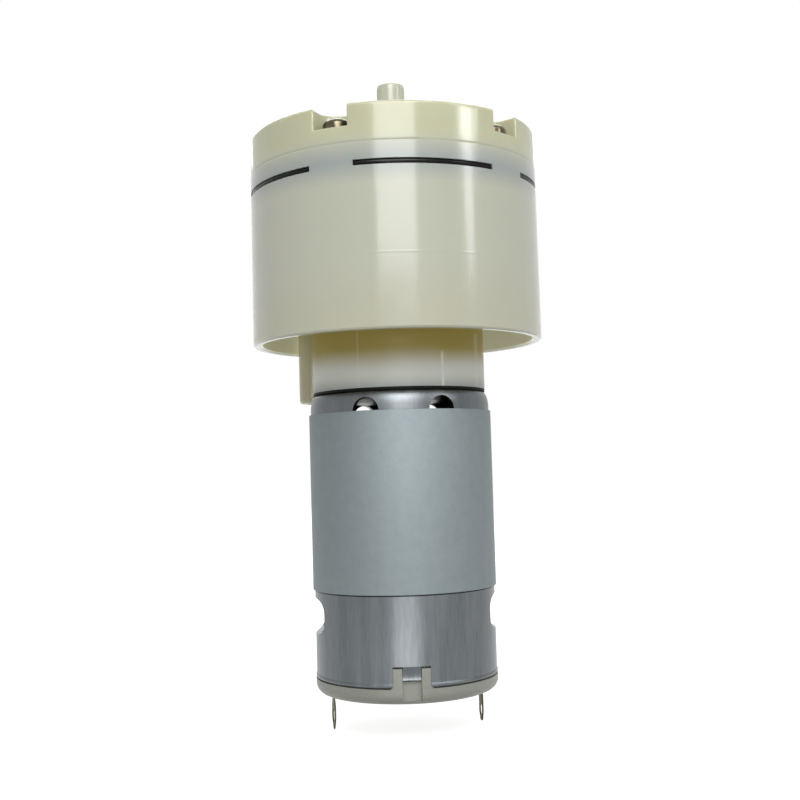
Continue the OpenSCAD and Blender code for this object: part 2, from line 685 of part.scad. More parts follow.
// Outline of a cup or of the space in it: drawn in from r_plug at its bottom to r_top, then straight up to z_end
function cup_profile(r_top, r_plug, bottom, z_end) = let (steps = 8, straight = 0.45, tall = case_z1 - bottom)
    concat([[0, bottom]],
        [for (i = [steps : -1 : 0])
            [cup_neck(i / steps, r_top, r_plug), case_z1 - tall * (straight + (1 - straight) * i / steps)]],
        [[r_top, z_end], [0, z_end]]);

module diaphragm() color("#1b1b1d") {
    rim_r = head_r - gap;
    plug_r = 3.2;
    plug_t = 1.4;
    // The plug that is moulded under a cup, and the barbed stem below it
    plug_seat = arm_t / 2;
    barb_top = -arm_t / 2 - 0.05;
    barb_h = 1.6;
    difference() {
        union() {
            rotate_extrude($fn = 120) polygon(concat([[0, case_z1]],
                arc(rim_r - rubber_t / 2, case_z1 + rubber_t / 2, rubber_t / 2, -90, 90, 8), [[0, case_z1 + rubber_t]]));
            for (k = [0 : cup_count - 1]) let (angle = cup_angle + k * cup_step) at_angle(angle, cup_r)
                rotate_extrude() polygon(cup_profile(cup_d / 2, plug_r, pivot_z + arm_rise(angle) + 0.6,
                    case_z1 + rubber_t / 2));
        }
        for (k = [0 : cup_count - 1]) let (angle = cup_angle + k * cup_step) at_angle(angle, cup_r)
            rotate_extrude() polygon(cup_profile(cup_open_r, plug_r - cup_wall,
                pivot_z + arm_rise(angle) + 0.6 + plug_t, plate_z0 + over));
        round_the_head(screw_angle, 0)
            ring_sector(head_r + over, screw_r - post_r - gap, case_z1 - over, plate_z0 + over, 0, post_angle + 0.6);
        round_the_head(screw_angle, transfer_r) translate([0, 0, case_z1 - over]) cylinder(r = transfer_hole_r, h = rubber_t + 2 * over);
    }
    tilted() round_the_head(cup_angle, cup_r) rotate_extrude() polygon([
        [0, barb_top - barb_h], [stem_r, barb_top - barb_h], [stem_r + 0.6, barb_top], [stem_r, barb_top],
        [stem_r, plug_seat], [plug_r - 0.6, plug_seat], [plug_r - 0.6, plug_seat + 1.5], [0, plug_seat + 1.5]]);
}

// Plate of valves over the cups: each cup has a ring of inlet holes and two outlet holes
module valve_plate() color("#c9c8b8") difference() {
    translate([0, 0, plate_z0]) cylinder(r = head_r, h = plate_t, $fn = 120);
    translate([0, 0, plate_z1 - 1]) cylinder(r = chamber_r, h = 1 + over);
    round_the_head(cup_angle, cup_r) {
        translate([0, 0, plate_z0 - over]) cylinder(r = stem_valve_r + press, h = plate_t + 2 * over, $fn = 32);
        for (turn = [0 : 60 : 300]) rotate([0, 0, turn]) translate([0, 2.2, plate_z0 - over])
            cylinder(r = 0.6, h = plate_t + 2 * over, $fn = 24);
    }
    for (k = [0 : cup_count - 1], side = [-1, 1]) at_angle(cup_angle + k * cup_step + side * 6, outlet_hole_r)
        translate([0, 0, plate_z0 - over]) cylinder(r = 0.6, h = plate_t + 2 * over, $fn = 24);
    round_the_head(screw_angle, transfer_r) translate([0, 0, plate_z0 - over]) cylinder(r = transfer_hole_r, h = plate_t + 2 * over, $fn = 32);
    round_the_head(screw_angle, screw_r) translate([0, 0, plate_z0 - over]) cylinder(r = screw_shank_r + gap, h = plate_t + 2 * over);
    translate([0, 0, plate_z1 - 1 - outlet_stem_h]) cylinder(r = outlet_stem_r + press, h = outlet_stem_h + over, $fn = 32);
}

stem_valve_r = 1;
outlet_stem_r = 1.3;
outlet_stem_h = 1.4;

// One umbrella valve over each cup, its stem held in the plate
module inlet_valves() color("#2a2a2c") round_the_head(cup_angle, cup_r) rotate_extrude($fn = 48) polygon([
    [0, plate_z0 - 0.9], [valve_r * 0.55, plate_z0 - 0.8], [valve_r, plate_z0 - 0.35], [valve_r, plate_z0],
    [stem_valve_r, plate_z0], [stem_valve_r, plate_z1 + gap], [stem_valve_r + 0.45, plate_z1 + gap],
    [stem_valve_r * 0.6, plate_z1 + 1.5], [0, plate_z1 + 1.5]]);

// One round rubber flap over all the outlet holes, its stem held in the plate's middle
module outlet_valve() color("#2a2a2c") {
    flap_z = plate_z1 - 1;
    difference() {
        rotate_extrude($fn = 64) polygon([[0, flap_z - outlet_stem_h + gap], [outlet_stem_r, flap_z - outlet_stem_h + gap],
            [outlet_stem_r, flap_z], [chamber_r - 0.4, flap_z], [chamber_r - 0.4, flap_z + 0.4],
            [3, flap_z + 0.7], [2, flap_z + 1.2], [0, flap_z + 1.2]]);
        for (k = [0 : cup_count - 1]) at_angle(screw_angle + k * cup_step)
            translate([-0.4, -chamber_r - over, flap_z - over]) cube([0.8, chamber_r + over - 5, 2 * over + 1]);
    }
}

// Rubber ring between the cover's inner wall and the valve plate
module cover_seal() color("#2a2a2c")
    ring(chamber_r + chamber_wall - 0.1, chamber_r + 0.1, plate_z1, plate_z1 + seal_ring_t);

seal_ring_t = 0.8;

// Space of a screw pocket: a round seat that opens to the cover's side
module pocket_space() {
    translate([0, 0, pocket_z]) cylinder(d = pocket_w, h = pocket_depth + over);
    translate([-pocket_w / 2, -head_r, pocket_z]) cube([pocket_w, head_r, pocket_depth + over]);
}

module top_cover() color("#c6c6b4") {
    cover_r = head_r - 0.1;
    edge = 0.5;
    roof_z = plate_z1 + plenum_h;
    root_h = 1.6;
    difference() {
        union() {
            rotate_extrude($fn = 120) polygon(concat([[0, plate_z1], [cover_r, plate_z1]],
                arc(cover_r - 0.1 - edge, cover_z1 - edge, edge, 0, 90, 4), [[0, cover_z1]]));
            rotate_extrude() polygon(concat([[0, cover_z1 - over], [nozzle_r + root_h, cover_z1 - over]],
                arc(nozzle_r + root_h, cover_z1 + root_h, root_h, 270, 180, 5),
                [[nozzle_r, outlet_z1 - 0.7], [nozzle_r - 0.2, outlet_z1 - 0.2], [nozzle_r - 0.7, outlet_z1], [0, outlet_z1]]));
        }
        // Plenum over the inlet valves, and the outlet chamber inside its ring wall
        ring(plenum_r, chamber_r + chamber_wall, plate_z1 - over, roof_z);
        translate([0, 0, plate_z1 - over]) cylinder(r = chamber_r, h = plenum_h + over);
        ring(chamber_r + chamber_wall + over / 2, chamber_r - over / 2, plate_z1 - over, plate_z1 + seal_ring_t);
        translate([0, 0, plate_z1]) cylinder(d = nozzle_bore, h = outlet_z1 - plate_z1 + over);
        round_the_head(screw_angle, screw_r) {
            pocket_space();
            translate([0, 0, plate_z1 - over]) cylinder(r = screw_shank_r + gap, h = cover_h + over);
        }
    }
}

module cover_screws() color("#8d8f90") round_the_head(screw_angle, screw_r)
    translate([0, 0, pocket_z]) pan_screw(screw_head_r, screw_head_h, screw_shank_r, cover_screw_len);

motor_can();
flux_ring();
end_cap();
terminal(-1);  // terminal_left
terminal(1);  // terminal_right
brush_holder(-1);  // brush_holder_left
brush_holder(1);  // brush_holder_right
brush(-1);  // brush_left
brush(1);  // brush_right
brush_spring(-1);  // brush_spring_left
brush_spring(1);  // brush_spring_right
magnet(-1);  // magnet_left
magnet(1);  // magnet_right
magnet_clips();
front_bearing();
rear_bearing();
motor_seal();
motor_shaft();
armature_core();
windings();
commutator();
commutator_core();
shaft_washers();
eccentric();
crank_pin();
wobble_plate();
pump_housing();
motor_screws();
diaphragm_seat();
diaphragm();
valve_plate();
inlet_valves();
outlet_valve();
cover_seal();
top_cover();
cover_screws();
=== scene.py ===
"""Looks of the mini air pump: finishes, detailed pieces, studio and camera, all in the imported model's frame.

Sizes are in millimetres, as in the part's source. MM turns them into Blender's metres. Angles round the pump
run from the front (-Y) towards the right (+X), in degrees.
"""
import sys

import logging
import math
from dataclasses import dataclass, field
from enum import Enum
from functools import cache

import bmesh
import bpy
from mathutils import Matrix, Vector


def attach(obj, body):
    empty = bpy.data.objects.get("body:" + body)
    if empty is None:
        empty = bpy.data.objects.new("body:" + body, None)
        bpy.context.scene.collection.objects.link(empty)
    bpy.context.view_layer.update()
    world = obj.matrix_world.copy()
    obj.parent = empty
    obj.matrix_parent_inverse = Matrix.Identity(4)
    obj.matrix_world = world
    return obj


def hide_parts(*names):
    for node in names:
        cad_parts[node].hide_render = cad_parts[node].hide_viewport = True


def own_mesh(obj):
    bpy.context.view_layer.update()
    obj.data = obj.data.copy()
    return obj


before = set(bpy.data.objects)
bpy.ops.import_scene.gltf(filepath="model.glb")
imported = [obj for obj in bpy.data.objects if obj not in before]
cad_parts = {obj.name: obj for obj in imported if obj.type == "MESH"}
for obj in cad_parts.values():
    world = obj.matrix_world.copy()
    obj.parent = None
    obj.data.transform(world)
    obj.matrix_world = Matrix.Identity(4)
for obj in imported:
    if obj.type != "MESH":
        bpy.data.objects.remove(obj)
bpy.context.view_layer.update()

MM = 0.001
LOG = logging.getLogger("mini_air_pump")
MATH = "ShaderNodeMath"
MIX = "ShaderNodeMix"
RANGE = "ShaderNodeMapRange"
# Noise keeps close to one half, so these values count as its lowest and highest for colour and for gloss.
CLOUD_SPAN = (0.32, 0.68)
GLOSS_SPAN = (0.3, 0.7)

Mesh = bpy.types.Mesh
Node = bpy.types.Node
Piece = bpy.types.Object
Socket = bpy.types.NodeSocket
Tree = bpy.types.NodeTree
Vert = bmesh.types.BMVert
Loop = list[Vert]
Point = tuple[float, float]
Feed = Node | Socket | float | tuple


class Body(Enum):
    """The bodies that new pieces ride on."""

    HOUSING = "housing"
    ROTOR = "rotor"
    WOBBLE = "wobble"


class Side(Enum):
    """The two sides of the motor that carry a brush and a terminal."""

    LEFT = -1
    RIGHT = 1


class Across(Enum):
    """Which way a pattern runs along a piece."""

    ALONG_SHAFT = "z"
    EVEN = "even"


def linear(colour: str) -> tuple[float, float, float, float]:
    """Turns an sRGB colour into Blender's linear one.

    Args:
        colour: Hex digits, such as "#C9CBB1".

    Returns:
        Linear red, green, blue and alpha.
    """
    parts = [int(colour[i:i + 2], 16) / 255 for i in (1, 3, 5)]
    red, green, blue = (c / 12.92 if c <= 0.04045 else ((c + 0.055) / 1.055) ** 2.4 for c in parts)
    return red, green, blue, 1.0


def add_node(tree: Tree, kind: str, inputs: dict | None = None, **settings: object) -> Node:
    """Adds a node, sets its properties, and sets or links its inputs.

    Args:
        tree: The node tree to add to.
        kind: The node's type name.
        inputs: For each input's name or index, a value, or a socket or node to link. A node gives its first
            output.
        **settings: Properties of the node.

    Returns:
        The new node.
    """
    node = tree.nodes.new(kind)
    for name, value in settings.items():
        setattr(node, name, value)
    for name, value in (inputs or {}).items():
        if isinstance(value, Node):
            value = next(socket for socket in value.outputs if socket.enabled)
        if isinstance(value, Socket):
            tree.links.new(value, node.inputs[name])
        else:
            node.inputs[name].default_value = value
    return node


def cleared(owner: bpy.types.Material | bpy.types.World) -> Tree:
    """Empties the node tree of a material or a world.

    Args:
        owner: The material or world.

    Returns:
        Its tree.
    """
    owner.use_nodes = True
    owner.node_tree.nodes.clear()
    return owner.node_tree


def new_object(name: str, data: bpy.types.ID) -> Piece:
    """Makes an object in the scene.

    Args:
        name: The object's name.
        data: Its mesh, lamp or camera.

    Returns:
        The object, at the origin.
    """
    made = bpy.data.objects.new(name, data)
    bpy.context.scene.collection.objects.link(made)
    return made


def plain_mesh(name: str, shape: bmesh.types.BMesh) -> Mesh:
    """Turns a bmesh into a mesh.

    Args:
        name: The mesh's name.
        shape: The bmesh. It is freed.

    Returns:
        The mesh.
    """
    mesh = bpy.data.meshes.new(name)
    shape.to_mesh(mesh)
    shape.free()
    return mesh


def turns(count: int) -> list[float]:
    """Returns equal steps of a whole turn, in radians."""
    return [2 * math.pi * i / count for i in range(count)]


def sweep(start: float, end: float, steps: int) -> list[float]:
    """Returns values from start to end in equal steps, both included."""
    return [start + (end - start) * i / steps for i in range(steps + 1)]


def clipped(value: float) -> float:
    """Keeps a value between 0 and 1."""
    return min(1.0, max(0.0, value))


def around(turn: float, radius: float) -> Point:
    """Returns x and y at a turn from the front, in radians, and a radius."""
    return radius * math.sin(turn), -radius * math.cos(turn)


@dataclass(frozen=True)
class Finish:
    """A real surface as a procedural material: two close colours, its gloss and a fine pattern.

    Grain is the size of the pattern's patches and bump its depth, both in millimetres. Real grain of a few
    hundredths is too fine to show in the render, so it is drawn coarser.
    """

    name: str
    colour: str
    second: str
    roughness: float = 0.5
    spread: float = 0.08
    metallic: float = 0.0
    grain: float = 2.0
    bump: float = 0.004
    across: Across = Across.EVEN
    specular: float = 0.5
    stretch: float = 60.0
    detail: float = 4.0
    patch: float = 5.0
    patch_detail: float = 2.0
    break_up: float = 0.55

    @cache
    def material(self) -> bpy.types.Material:
        """Builds the material on its first call.

        Returns:
            The material.
        """
        material = bpy.data.materials.new(self.name)
        tree = cleared(material)
        shader = add_node(tree, "ShaderNodeBsdfPrincipled", {
            "Metallic": self.metallic, "Specular IOR Level": self.specular, **self.pattern(tree)})
        add_node(tree, "ShaderNodeOutputMaterial", {"Surface": shader})
        return material

    def pattern(self, tree: Tree) -> dict[str, Feed]:
        """Adds the colour, roughness and bump patterns.

        Args:
            tree: The material's node tree.

        Returns:
            What feeds each of the shader's inputs.
        """
        fine = self.noise(tree, self.grain, self.detail)
        broad = self.noise(tree, self.grain * self.patch, self.patch_detail)
        return {"Base Color": self.mottled(tree, add_node(tree, MIX, {0: 0.5, 2: fine, 3: broad})),
                "Roughness": self.gloss(tree, fine), "Normal": self.relief(tree, fine)}

    def noise(self, tree: Tree, size: float, detail: float) -> Node:
        """Adds a noise of a real size on the object's own coordinates.

        Args:
            tree: The material's node tree.
            size: Size of the pattern's patches, in millimetres.
            detail: Octaves of finer noise.

        Returns:
            The noise, from 0 to 1.
        """
        place = add_node(tree, "ShaderNodeTexCoord").outputs["Object"]
        near = 1 / (size * MM)
        along = near / self.stretch if self.across is Across.ALONG_SHAFT else near
        mapped = add_node(tree, "ShaderNodeMapping", {"Vector": place, "Scale": (near, near, along)})
        return add_node(tree, "ShaderNodeTexNoise", {
            "Vector": mapped, "Scale": 1.0, "Detail": detail, "Roughness": self.break_up})

    def mottled(self, tree: Tree, value: Node) -> Node:
        """Mixes the finish's two colours by a noise.

        Args:
            tree: The material's node tree.
            value: The noise.

        Returns:
            The colour.
        """
        low, high = CLOUD_SPAN
        share = add_node(tree, RANGE, {"Value": value, "From Min": low, "From Max": high})
        return add_node(tree, MIX, {
            0: share, 6: linear(self.colour), 7: linear(self.second)}, data_type="RGBA")

    def coated(self, tree: Tree, under: Feed, *coats: tuple[Node, Node | str]) -> Feed:
        """Lays coats of colour over a first one.

        Args:
            tree: The material's node tree.
            under: The first colour.
            *coats: For each coat, how far it covers, from 0 to 1, and its colour as a node or in hex digits.

        Returns:
            The colour that shows.
        """
        for share, colour in coats:
            over = linear(colour) if isinstance(colour, str) else colour
            under = add_node(tree, MIX, {0: share, 6: under, 7: over}, data_type="RGBA")
        return under

    def gloss(self, tree: Tree, value: Node, clamp: bool = True) -> Node:
        """Varies the roughness with a pattern.

        Args:
            tree: The material's node tree.
            value: The pattern, from 0 to 1.
            clamp: Whether the roughness stays within the finish's spread.

        Returns:
            The roughness.
        """
        low, high = GLOSS_SPAN
        return add_node(tree, RANGE, {
            "Value": value, "From Min": low, "From Max": high, "To Min": self.roughness - self.spread,
            "To Max": self.roughness + self.spread}, clamp=clamp)

    def relief(self, tree: Tree, height: Node) -> Node:
        """Adds the bump, at half strength so that it stays soft.

        Args:
            tree: The material's node tree.
            height: The pattern, from 0 to 1.

        Returns:
            The bumped normal.
        """
        return add_node(tree, "ShaderNodeBump", {
            "Height": height, "Strength": 0.5, "Distance": self.bump * MM})

    def rise(self, tree: Tree, low: float, high: float, drift: Node | None = None) -> Node:
        """Adds a share that goes smoothly from 0 to 1 between two heights in millimetres.

        Args:
            tree: The material's node tree.
            low: Height where the share leaves 0. It lies above high where the share falls with the height.
            high: Height where it reaches 1.
            drift: A distance in metres that is added to the height, so that the change wanders.

        Returns:
            The share.
        """
        place = add_node(tree, "ShaderNodeTexCoord").outputs["Object"]
        height = add_node(tree, "ShaderNodeSeparateXYZ", {0: place}).outputs["Z"]
        if drift is not None:
            height = add_node(tree, MATH, {0: height, 1: drift}, operation="ADD")
        return add_node(tree, RANGE, {"Value": height, "From Min": low * MM, "From Max": high * MM},
                        interpolation_type="SMOOTHSTEP")

    def near(self, tree: Tree, height: float, half: float) -> Node:
        """Adds a share that is 1 at a height and fades to 0 above and below it.

        Args:
            tree: The material's node tree.
            height: The height, in millimetres.
            half: How far the fade reaches to either side.

        Returns:
            The share.
        """
        low, high = self.rise(tree, height - half, height), self.rise(tree, height, height + half)
        return add_node(tree, MATH, {0: low, 1: high}, operation="SUBTRACT")


@dataclass(frozen=True)
class MouldedNylon(Finish):
    """Half-gloss nylon that lets some light in.

    It is warm at the thick cover, greyer where the black diaphragm lies inside, and painted brown as shade
    deep under the skirt. Heights and radii are in millimetres. A colour's pair of heights is where it begins
    and is full.
    """

    skirt: str = "#D0D0BB"
    cool: str = "#D0D2C0"
    cool_from: Point = (34.0, 46.0)
    # Painted shade: the underside of the skirt's rim is darker than the skirt.
    rim: str = "#AFAF9C"
    painted_rim_shade_from: Point = (31.8, 31.64)
    halo: str = "#B3BAB6"
    halo_height: float = 62.6
    halo_half: float = 4.6
    cover_from: Point = (65.2, 68.6)
    nozzle_from: Point = (74.2, 77.0)
    crease: float = 45.6
    crease_half: float = 0.3
    crease_share: float = 5.0
    # Painted shade: a darker grey at the bottom of the neck, just above the seal.
    painted_foot_shade: str = "#B2B8B4"
    # Painted light: a near-white lit band on the neck, below the skirt's shadow.
    painted_lit_neck: str = "#ECEEE6"
    painted_lit_neck_from: Point = (21.6, 24.6)
    # Painted shadow and painted warm light: the neck's top, in the skirt's shade, is dark brown, for light
    # that comes through the nylon.
    deep: str = "#AE9C52"
    painted_skirt_shadow_from: Point = (26.0, 30.8)
    wander: float = 1.6
    # Painted highlights: pale lines down the neck, in place of reflections of the strip lamps.
    painted_highlight_colour: str = "#FAFBF0"
    painted_highlight_fade: float = 1.2
    painted_highlight_lines: tuple[tuple[float, float, float, float], ...] = (
        (-7.7, 0.25, 34.0, 0.2), (8.55, 0.38, 27.8, 0.85), (15.5, 0.7, 32.0, 0.22))
    # Painted light: the skirt's inside is paler and warmer, against the shade under the skirt.
    inner: str = "#D8D3B2"
    # Painted glow: the colour that the skirt's inside emits.
    through: str = "#63665B"
    deck: float = 43.5
    neck_radius: float = 18.2
    skirt_inside: Point = (26.6, 27.9)
    cloud: float = 6.0
    cloud_detail: float = 2.0
    ripple: float = 0.5
    ripple_detail: float = 3.0
    drift: float = 8.0
    dullness: float = 2.4
    subsurface: float = 0.35
    subsurface_depth: float = 1.6
    subsurface_tint: tuple[float, float, float] = (1.0, 0.85, 0.55)
    refraction: float = 1.53

    def pattern(self, tree: Tree) -> dict[str, Feed]:
        """Adds the cloudy colour, the faint ripple and crease of the mould, and the painted glow of light
        inside the plastic.

        Args:
            tree: The material's node tree.

        Returns:
            What feeds each of the shader's inputs.
        """
        cloud = self.noise(tree, self.grain * self.cloud, self.cloud_detail)
        ripple = self.noise(tree, self.grain, self.ripple_detail)
        inside = self.within(tree, self.neck_radius)
        hollow, under = (self.within(tree, radius) for radius in self.skirt_inside)
        cover, nozzle = self.rise(tree, *self.cover_from), self.rise(tree, *self.nozzle_from)
        thick = add_node(tree, MATH, {0: cover, 1: nozzle}, operation="SUBTRACT")
        colour = self.coated(
            tree, linear(self.skirt), (self.rise(tree, *self.cool_from), self.cool),
            (self.rise(tree, *self.painted_rim_shade_from), self.rim),
            (self.near(tree, self.halo_height, self.halo_half), self.halo),
            (thick, self.mottled(tree, cloud)), (under, self.inner), (inside, self.neck(tree)))
        dull = add_node(tree, MATH, {0: inside, 1: self.dullness, 2: ripple}, operation="MULTIPLY_ADD")
        line = self.near(tree, self.crease, self.crease_half)
        uneven = add_node(tree, MATH, {0: ripple, 1: self.ripple, 2: cloud}, operation="MULTIPLY_ADD")
        height = add_node(tree, MATH, {0: line, 1: self.crease_share, 2: uneven}, operation="MULTIPLY_ADD")
        # Painted glow: the skirt's thin inside emits faint light for light let through, so it is pale where no
        # lamp reaches it.
        lit = add_node(tree, MATH, {0: under, 1: hollow}, operation="SUBTRACT")
        return {"Base Color": colour, "Roughness": self.gloss(tree, dull, clamp=False),
                "Normal": self.relief(tree, height), "Emission Color": linear(self.through),
                "Emission Strength": lit, "Subsurface Weight": self.subsurface,
                "Subsurface Radius": self.subsurface_tint, "Subsurface Scale": self.subsurface_depth * MM,
                "IOR": self.refraction}

    def neck(self, tree: Tree) -> Feed:
        """Adds the neck's painted light and shade: grey low down, then pale, brown shadow under the deck, and
        highlight lines.

        Args:
            tree: The material's node tree.

        Returns:
            The colour.
        """
        slow = self.noise(tree, self.grain * self.drift, 1.0)
        drift = add_node(tree, MATH, {0: slow, 1: self.wander * MM}, operation="MULTIPLY")
        return self.coated(
            tree, linear(self.painted_foot_shade), (self.rise(tree, *self.painted_lit_neck_from), self.painted_lit_neck),
            (self.rise(tree, *self.painted_skirt_shadow_from, drift), self.deep), (self.painted_highlights(tree), self.painted_highlight_colour))

    def painted_highlights(self, tree: Tree) -> Node:
        """Adds the painted highlight lines down the neck, which stand in for the strip lamps' reflections,
        each at its place, with its own width, top and strength.

        Args:
            tree: The material's node tree.

        Returns:
            How strongly they show.
        """
        place = add_node(tree, "ShaderNodeTexCoord").outputs["Object"]
        across = add_node(tree, "ShaderNodeSeparateXYZ", {0: place}).outputs["X"]
        total: Feed = 0.0
        for middle, half, top, strength in self.painted_highlight_lines:
            past = add_node(tree, MATH, {0: across, 1: middle * MM}, operation="SUBTRACT")
            off = add_node(tree, MATH, {0: past}, operation="ABSOLUTE")
            line = add_node(tree, RANGE, {
                "Value": off, "From Min": 0.0, "From Max": half * MM, "To Min": strength, "To Max": 0.0})
            below = self.rise(tree, top + self.painted_highlight_fade, top)
            total = add_node(tree, MATH, {0: line, 1: below, 2: total}, operation="MULTIPLY_ADD")
        return total

    def within(self, tree: Tree, reach: float) -> Node:
        """Adds a mask of what lies below the deck and close to the shaft.

        Args:
            tree: The material's node tree.
            reach: The radius, in millimetres, up to which it counts.

        Returns:
            1 there, and 0 elsewhere.
        """
        place = add_node(tree, "ShaderNodeTexCoord").outputs["Object"]
        flat = add_node(tree, "ShaderNodeVectorMath", {0: place, 1: (1, 1, 0)}, operation="MULTIPLY")
        radius = add_node(tree, "ShaderNodeVectorMath", {0: flat}, operation="LENGTH").outputs["Value"]
        near = add_node(tree, MATH, {0: radius, 1: reach * MM}, operation="LESS_THAN")
        above = self.rise(tree, self.deck, self.deck + 1)
        below = add_node(tree, MATH, {0: above, 1: 0.5}, operation="LESS_THAN")
        return add_node(tree, MATH, {0: near, 1: below}, operation="MULTIPLY")


@dataclass(frozen=True)
class DrawnSteel(Finish):
    """Zinc plated deep-drawn steel, with fine drawing marks, dull blotches and a painted shadow line under the
    ring.
    """

    across: Across = Across.ALONG_SHAFT
    detail: float = 5.0
    patch: float = 9.0
    ring_shadow_height: float = -17.66
    ring_shadow_half: float = 0.2
    # Painted shadow: the colour of the dark line on the can under the ring.
    painted_ring_shadow: str = "#0C0C0D"

    def pattern(self, tree: Tree) -> dict[str, Feed]:
        """Adds the drawing marks along the can, the blotches over them and the painted shadow line under the
        ring.

        Args:
            tree: The material's node tree.

        Returns:
            What feeds each of the shader's inputs.
        """
        marks = self.noise(tree, self.grain, self.detail)
        blotches = self.noise(tree, self.grain * self.patch, self.patch_detail)
        clean = self.mottled(tree, add_node(tree, MIX, {0: 0.5, 2: marks, 3: blotches}))
        # Painted shadow: a thin near-black band on the can just below the ring's lower edge.
        line = self.near(tree, self.ring_shadow_height, self.ring_shadow_half)
        return {"Base Color": self.coated(tree, clean, (line, self.painted_ring_shadow)),
                "Roughness": self.gloss(tree, blotches), "Normal": self.relief(tree, marks)}


class Finishes:
    """Every finish of the pump, named for the real material."""

    # Natural nylon from a polished mould: half gloss, cream, and a little see-through
    case = MouldedNylon("moulded_natural_nylon", "#DADBBA", "#D4D4B1", 0.14, 0.03, grain=1.6, bump=0.006,
                        specular=0.38)
    # Deep-drawn steel with bright zinc: long soft highlights, broken by marks along the can
    can = DrawnSteel("drawn_zinc_plated_steel", "#55595C", "#686C6E", 0.36, 0.05, 1.0, 0.28, 0.014,
                     stretch=14.0)
    # Rolled steel sheet with matte zinc: even blue grey, with no clear reflections
    ring = Finish("rolled_matte_zinc_steel", "#717A7C", "#798182", 0.66, 0.05, 0.9, 0.4, 0.006)
    # Grey polyamide with glass fibre: dull, faintly speckled
    cap = Finish("grey_glass_filled_nylon", "#92948A", "#9B9D92", 0.46, 0.06, grain=0.7, bump=0.012)
    # Brass strip with dull tin: dark brownish metal
    terminal = Finish("tinned_brass_strip", "#37331F", "#4E4833", 0.4, 0.08, 1.0, 0.6, 0.006)
    # Plain brass strip, folded to a box: yellow, with clear highlights
    holder = Finish("plain_brass_strip", "#C9A45C", "#B9924C", 0.32, 0.07, 1.0, 0.8, 0.006)
    # Pressed carbon and copper powder: dull brown black
    carbon = Finish("pressed_copper_carbon", "#37322E", "#4A4038", 0.62, 0.06, grain=0.2, bump=0.01)
    # Music wire: bright grey, drawn smooth
    spring = Finish("drawn_spring_wire", "#9B9D9E", "#85888A", 0.34, 0.06, 1.0, 0.3, 0.003)
    # Sintered ferrite: dull dark grey, like fired clay
    magnet = Finish("sintered_ferrite", "#3E4044", "#4A4C50", 0.66, 0.06, grain=0.5, bump=0.02)
    # Sintered bronze soaked in oil: brown gold, finely pitted
    bearing = Finish("sintered_oiled_bronze", "#9A7B4C", "#7F6238", 0.42, 0.07, 1.0, 0.25, 0.01)
    # Black nitrile rubber: deep black with almost no shine
    rubber = Finish("black_nitrile_rubber", "#050505", "#0B0B0B", 0.6, 0.07, grain=0.6, bump=0.01,
                    specular=0.1)
    # Softer black rubber of the diaphragm and the valves: a thin clear highlight
    diaphragm = Finish("black_epdm_rubber", "#040404", "#090908", 0.24, 0.05, grain=1.0, bump=0.006,
                       specular=0.14)
    # Ground shaft steel: almost a mirror
    shaft = Finish("ground_shaft_steel", "#C3C6C8", "#B2B6B9", 0.2, 0.05, 1.0, 0.3, 0.002)
    # Stacked steel laminations: grey, half dull
    core = Finish("stacked_core_steel", "#6A6E71", "#5A5E61", 0.45, 0.07, 1.0, 0.5, 0.01)
    # Turned copper of the commutator: reddish, bright where the brushes run
    bars = Finish("turned_copper", "#B87A50", "#A96A42", 0.3, 0.07, 1.0, 0.3, 0.004)
    # Enamelled copper wire: deep orange brown under a clear coat
    wire = Finish("enamelled_copper_wire", "#9A4A22", "#B4602E", 0.28, 0.05, 0.6, 0.4, 0.002)
    # Phenolic resin: dark brown, half gloss
    resin = Finish("phenolic_resin", "#2B211B", "#372B23", 0.4, 0.06, grain=0.8, bump=0.006)
    # Pressed fibre board: matte straw colour
    fibre = Finish("pressed_fibre_board", "#C9C0A2", "#BAB08F", 0.75, 0.05, grain=0.5, bump=0.02)
    # White acetal of the moving works: off white, waxy
    works = Finish("white_acetal", "#D9D6C8", "#D1CDBC", 0.4, 0.05, grain=1.5, bump=0.008)
    # Nickel plated screw steel, a little tarnished: sharp dark reflections
    screw = Finish("nickel_plated_screw_steel", "#4C4739", "#665F4D", 0.22, 0.07, 1.0, 0.5, 0.004)


def dress(finish: Finish, *names: str) -> None:
    """Gives CAD nodes a finish and reports each.

    Args:
        finish: The finish.
        *names: The nodes' names.
    """
    for name in names:
        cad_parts[name].data.materials[0] = finish.material()
        LOG.info("dressed %s with %s", name, finish.name)


def add_piece(name: str, mesh: Mesh, finish: Finish, body: Body, slot: str, *nodes: str) -> Piece:
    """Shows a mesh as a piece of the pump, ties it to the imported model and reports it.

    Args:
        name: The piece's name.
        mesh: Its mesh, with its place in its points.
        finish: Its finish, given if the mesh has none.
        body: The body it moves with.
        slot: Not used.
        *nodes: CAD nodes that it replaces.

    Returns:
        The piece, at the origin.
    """
    mesh.name = name
    if not mesh.materials:
        mesh.materials.append(finish.material())
    piece = new_object(name, mesh)
    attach(piece, body.value)
    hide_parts(*nodes)
    LOG.info("built %s: %d faces, riding on %s", name, len(mesh.polygons), body.value)
    return piece


def finished(shape: bmesh.types.BMesh, sharp: float = 32.0, merge: float = 0.0002) -> Mesh:
    """Turns a bmesh into a closed, smooth shaded mesh with its faces outwards.

    Args:
        shape: The shape in millimetres. It is freed.
        sharp: Angle in degrees above which an edge stays sharp.
        merge: Distance in millimetres within which points are joined.

    Returns:
        The mesh, in metres.
    """
    bmesh.ops.remove_doubles(shape, verts=shape.verts, dist=merge)
    bmesh.ops.recalc_face_normals(shape, faces=shape.faces)
    bmesh.ops.scale(shape, vec=(MM, MM, MM), verts=shape.verts)
    mesh = plain_mesh("shape", shape)
    mesh.shade_smooth()
    mesh.set_sharp_from_angle(angle=math.radians(sharp))
    return mesh


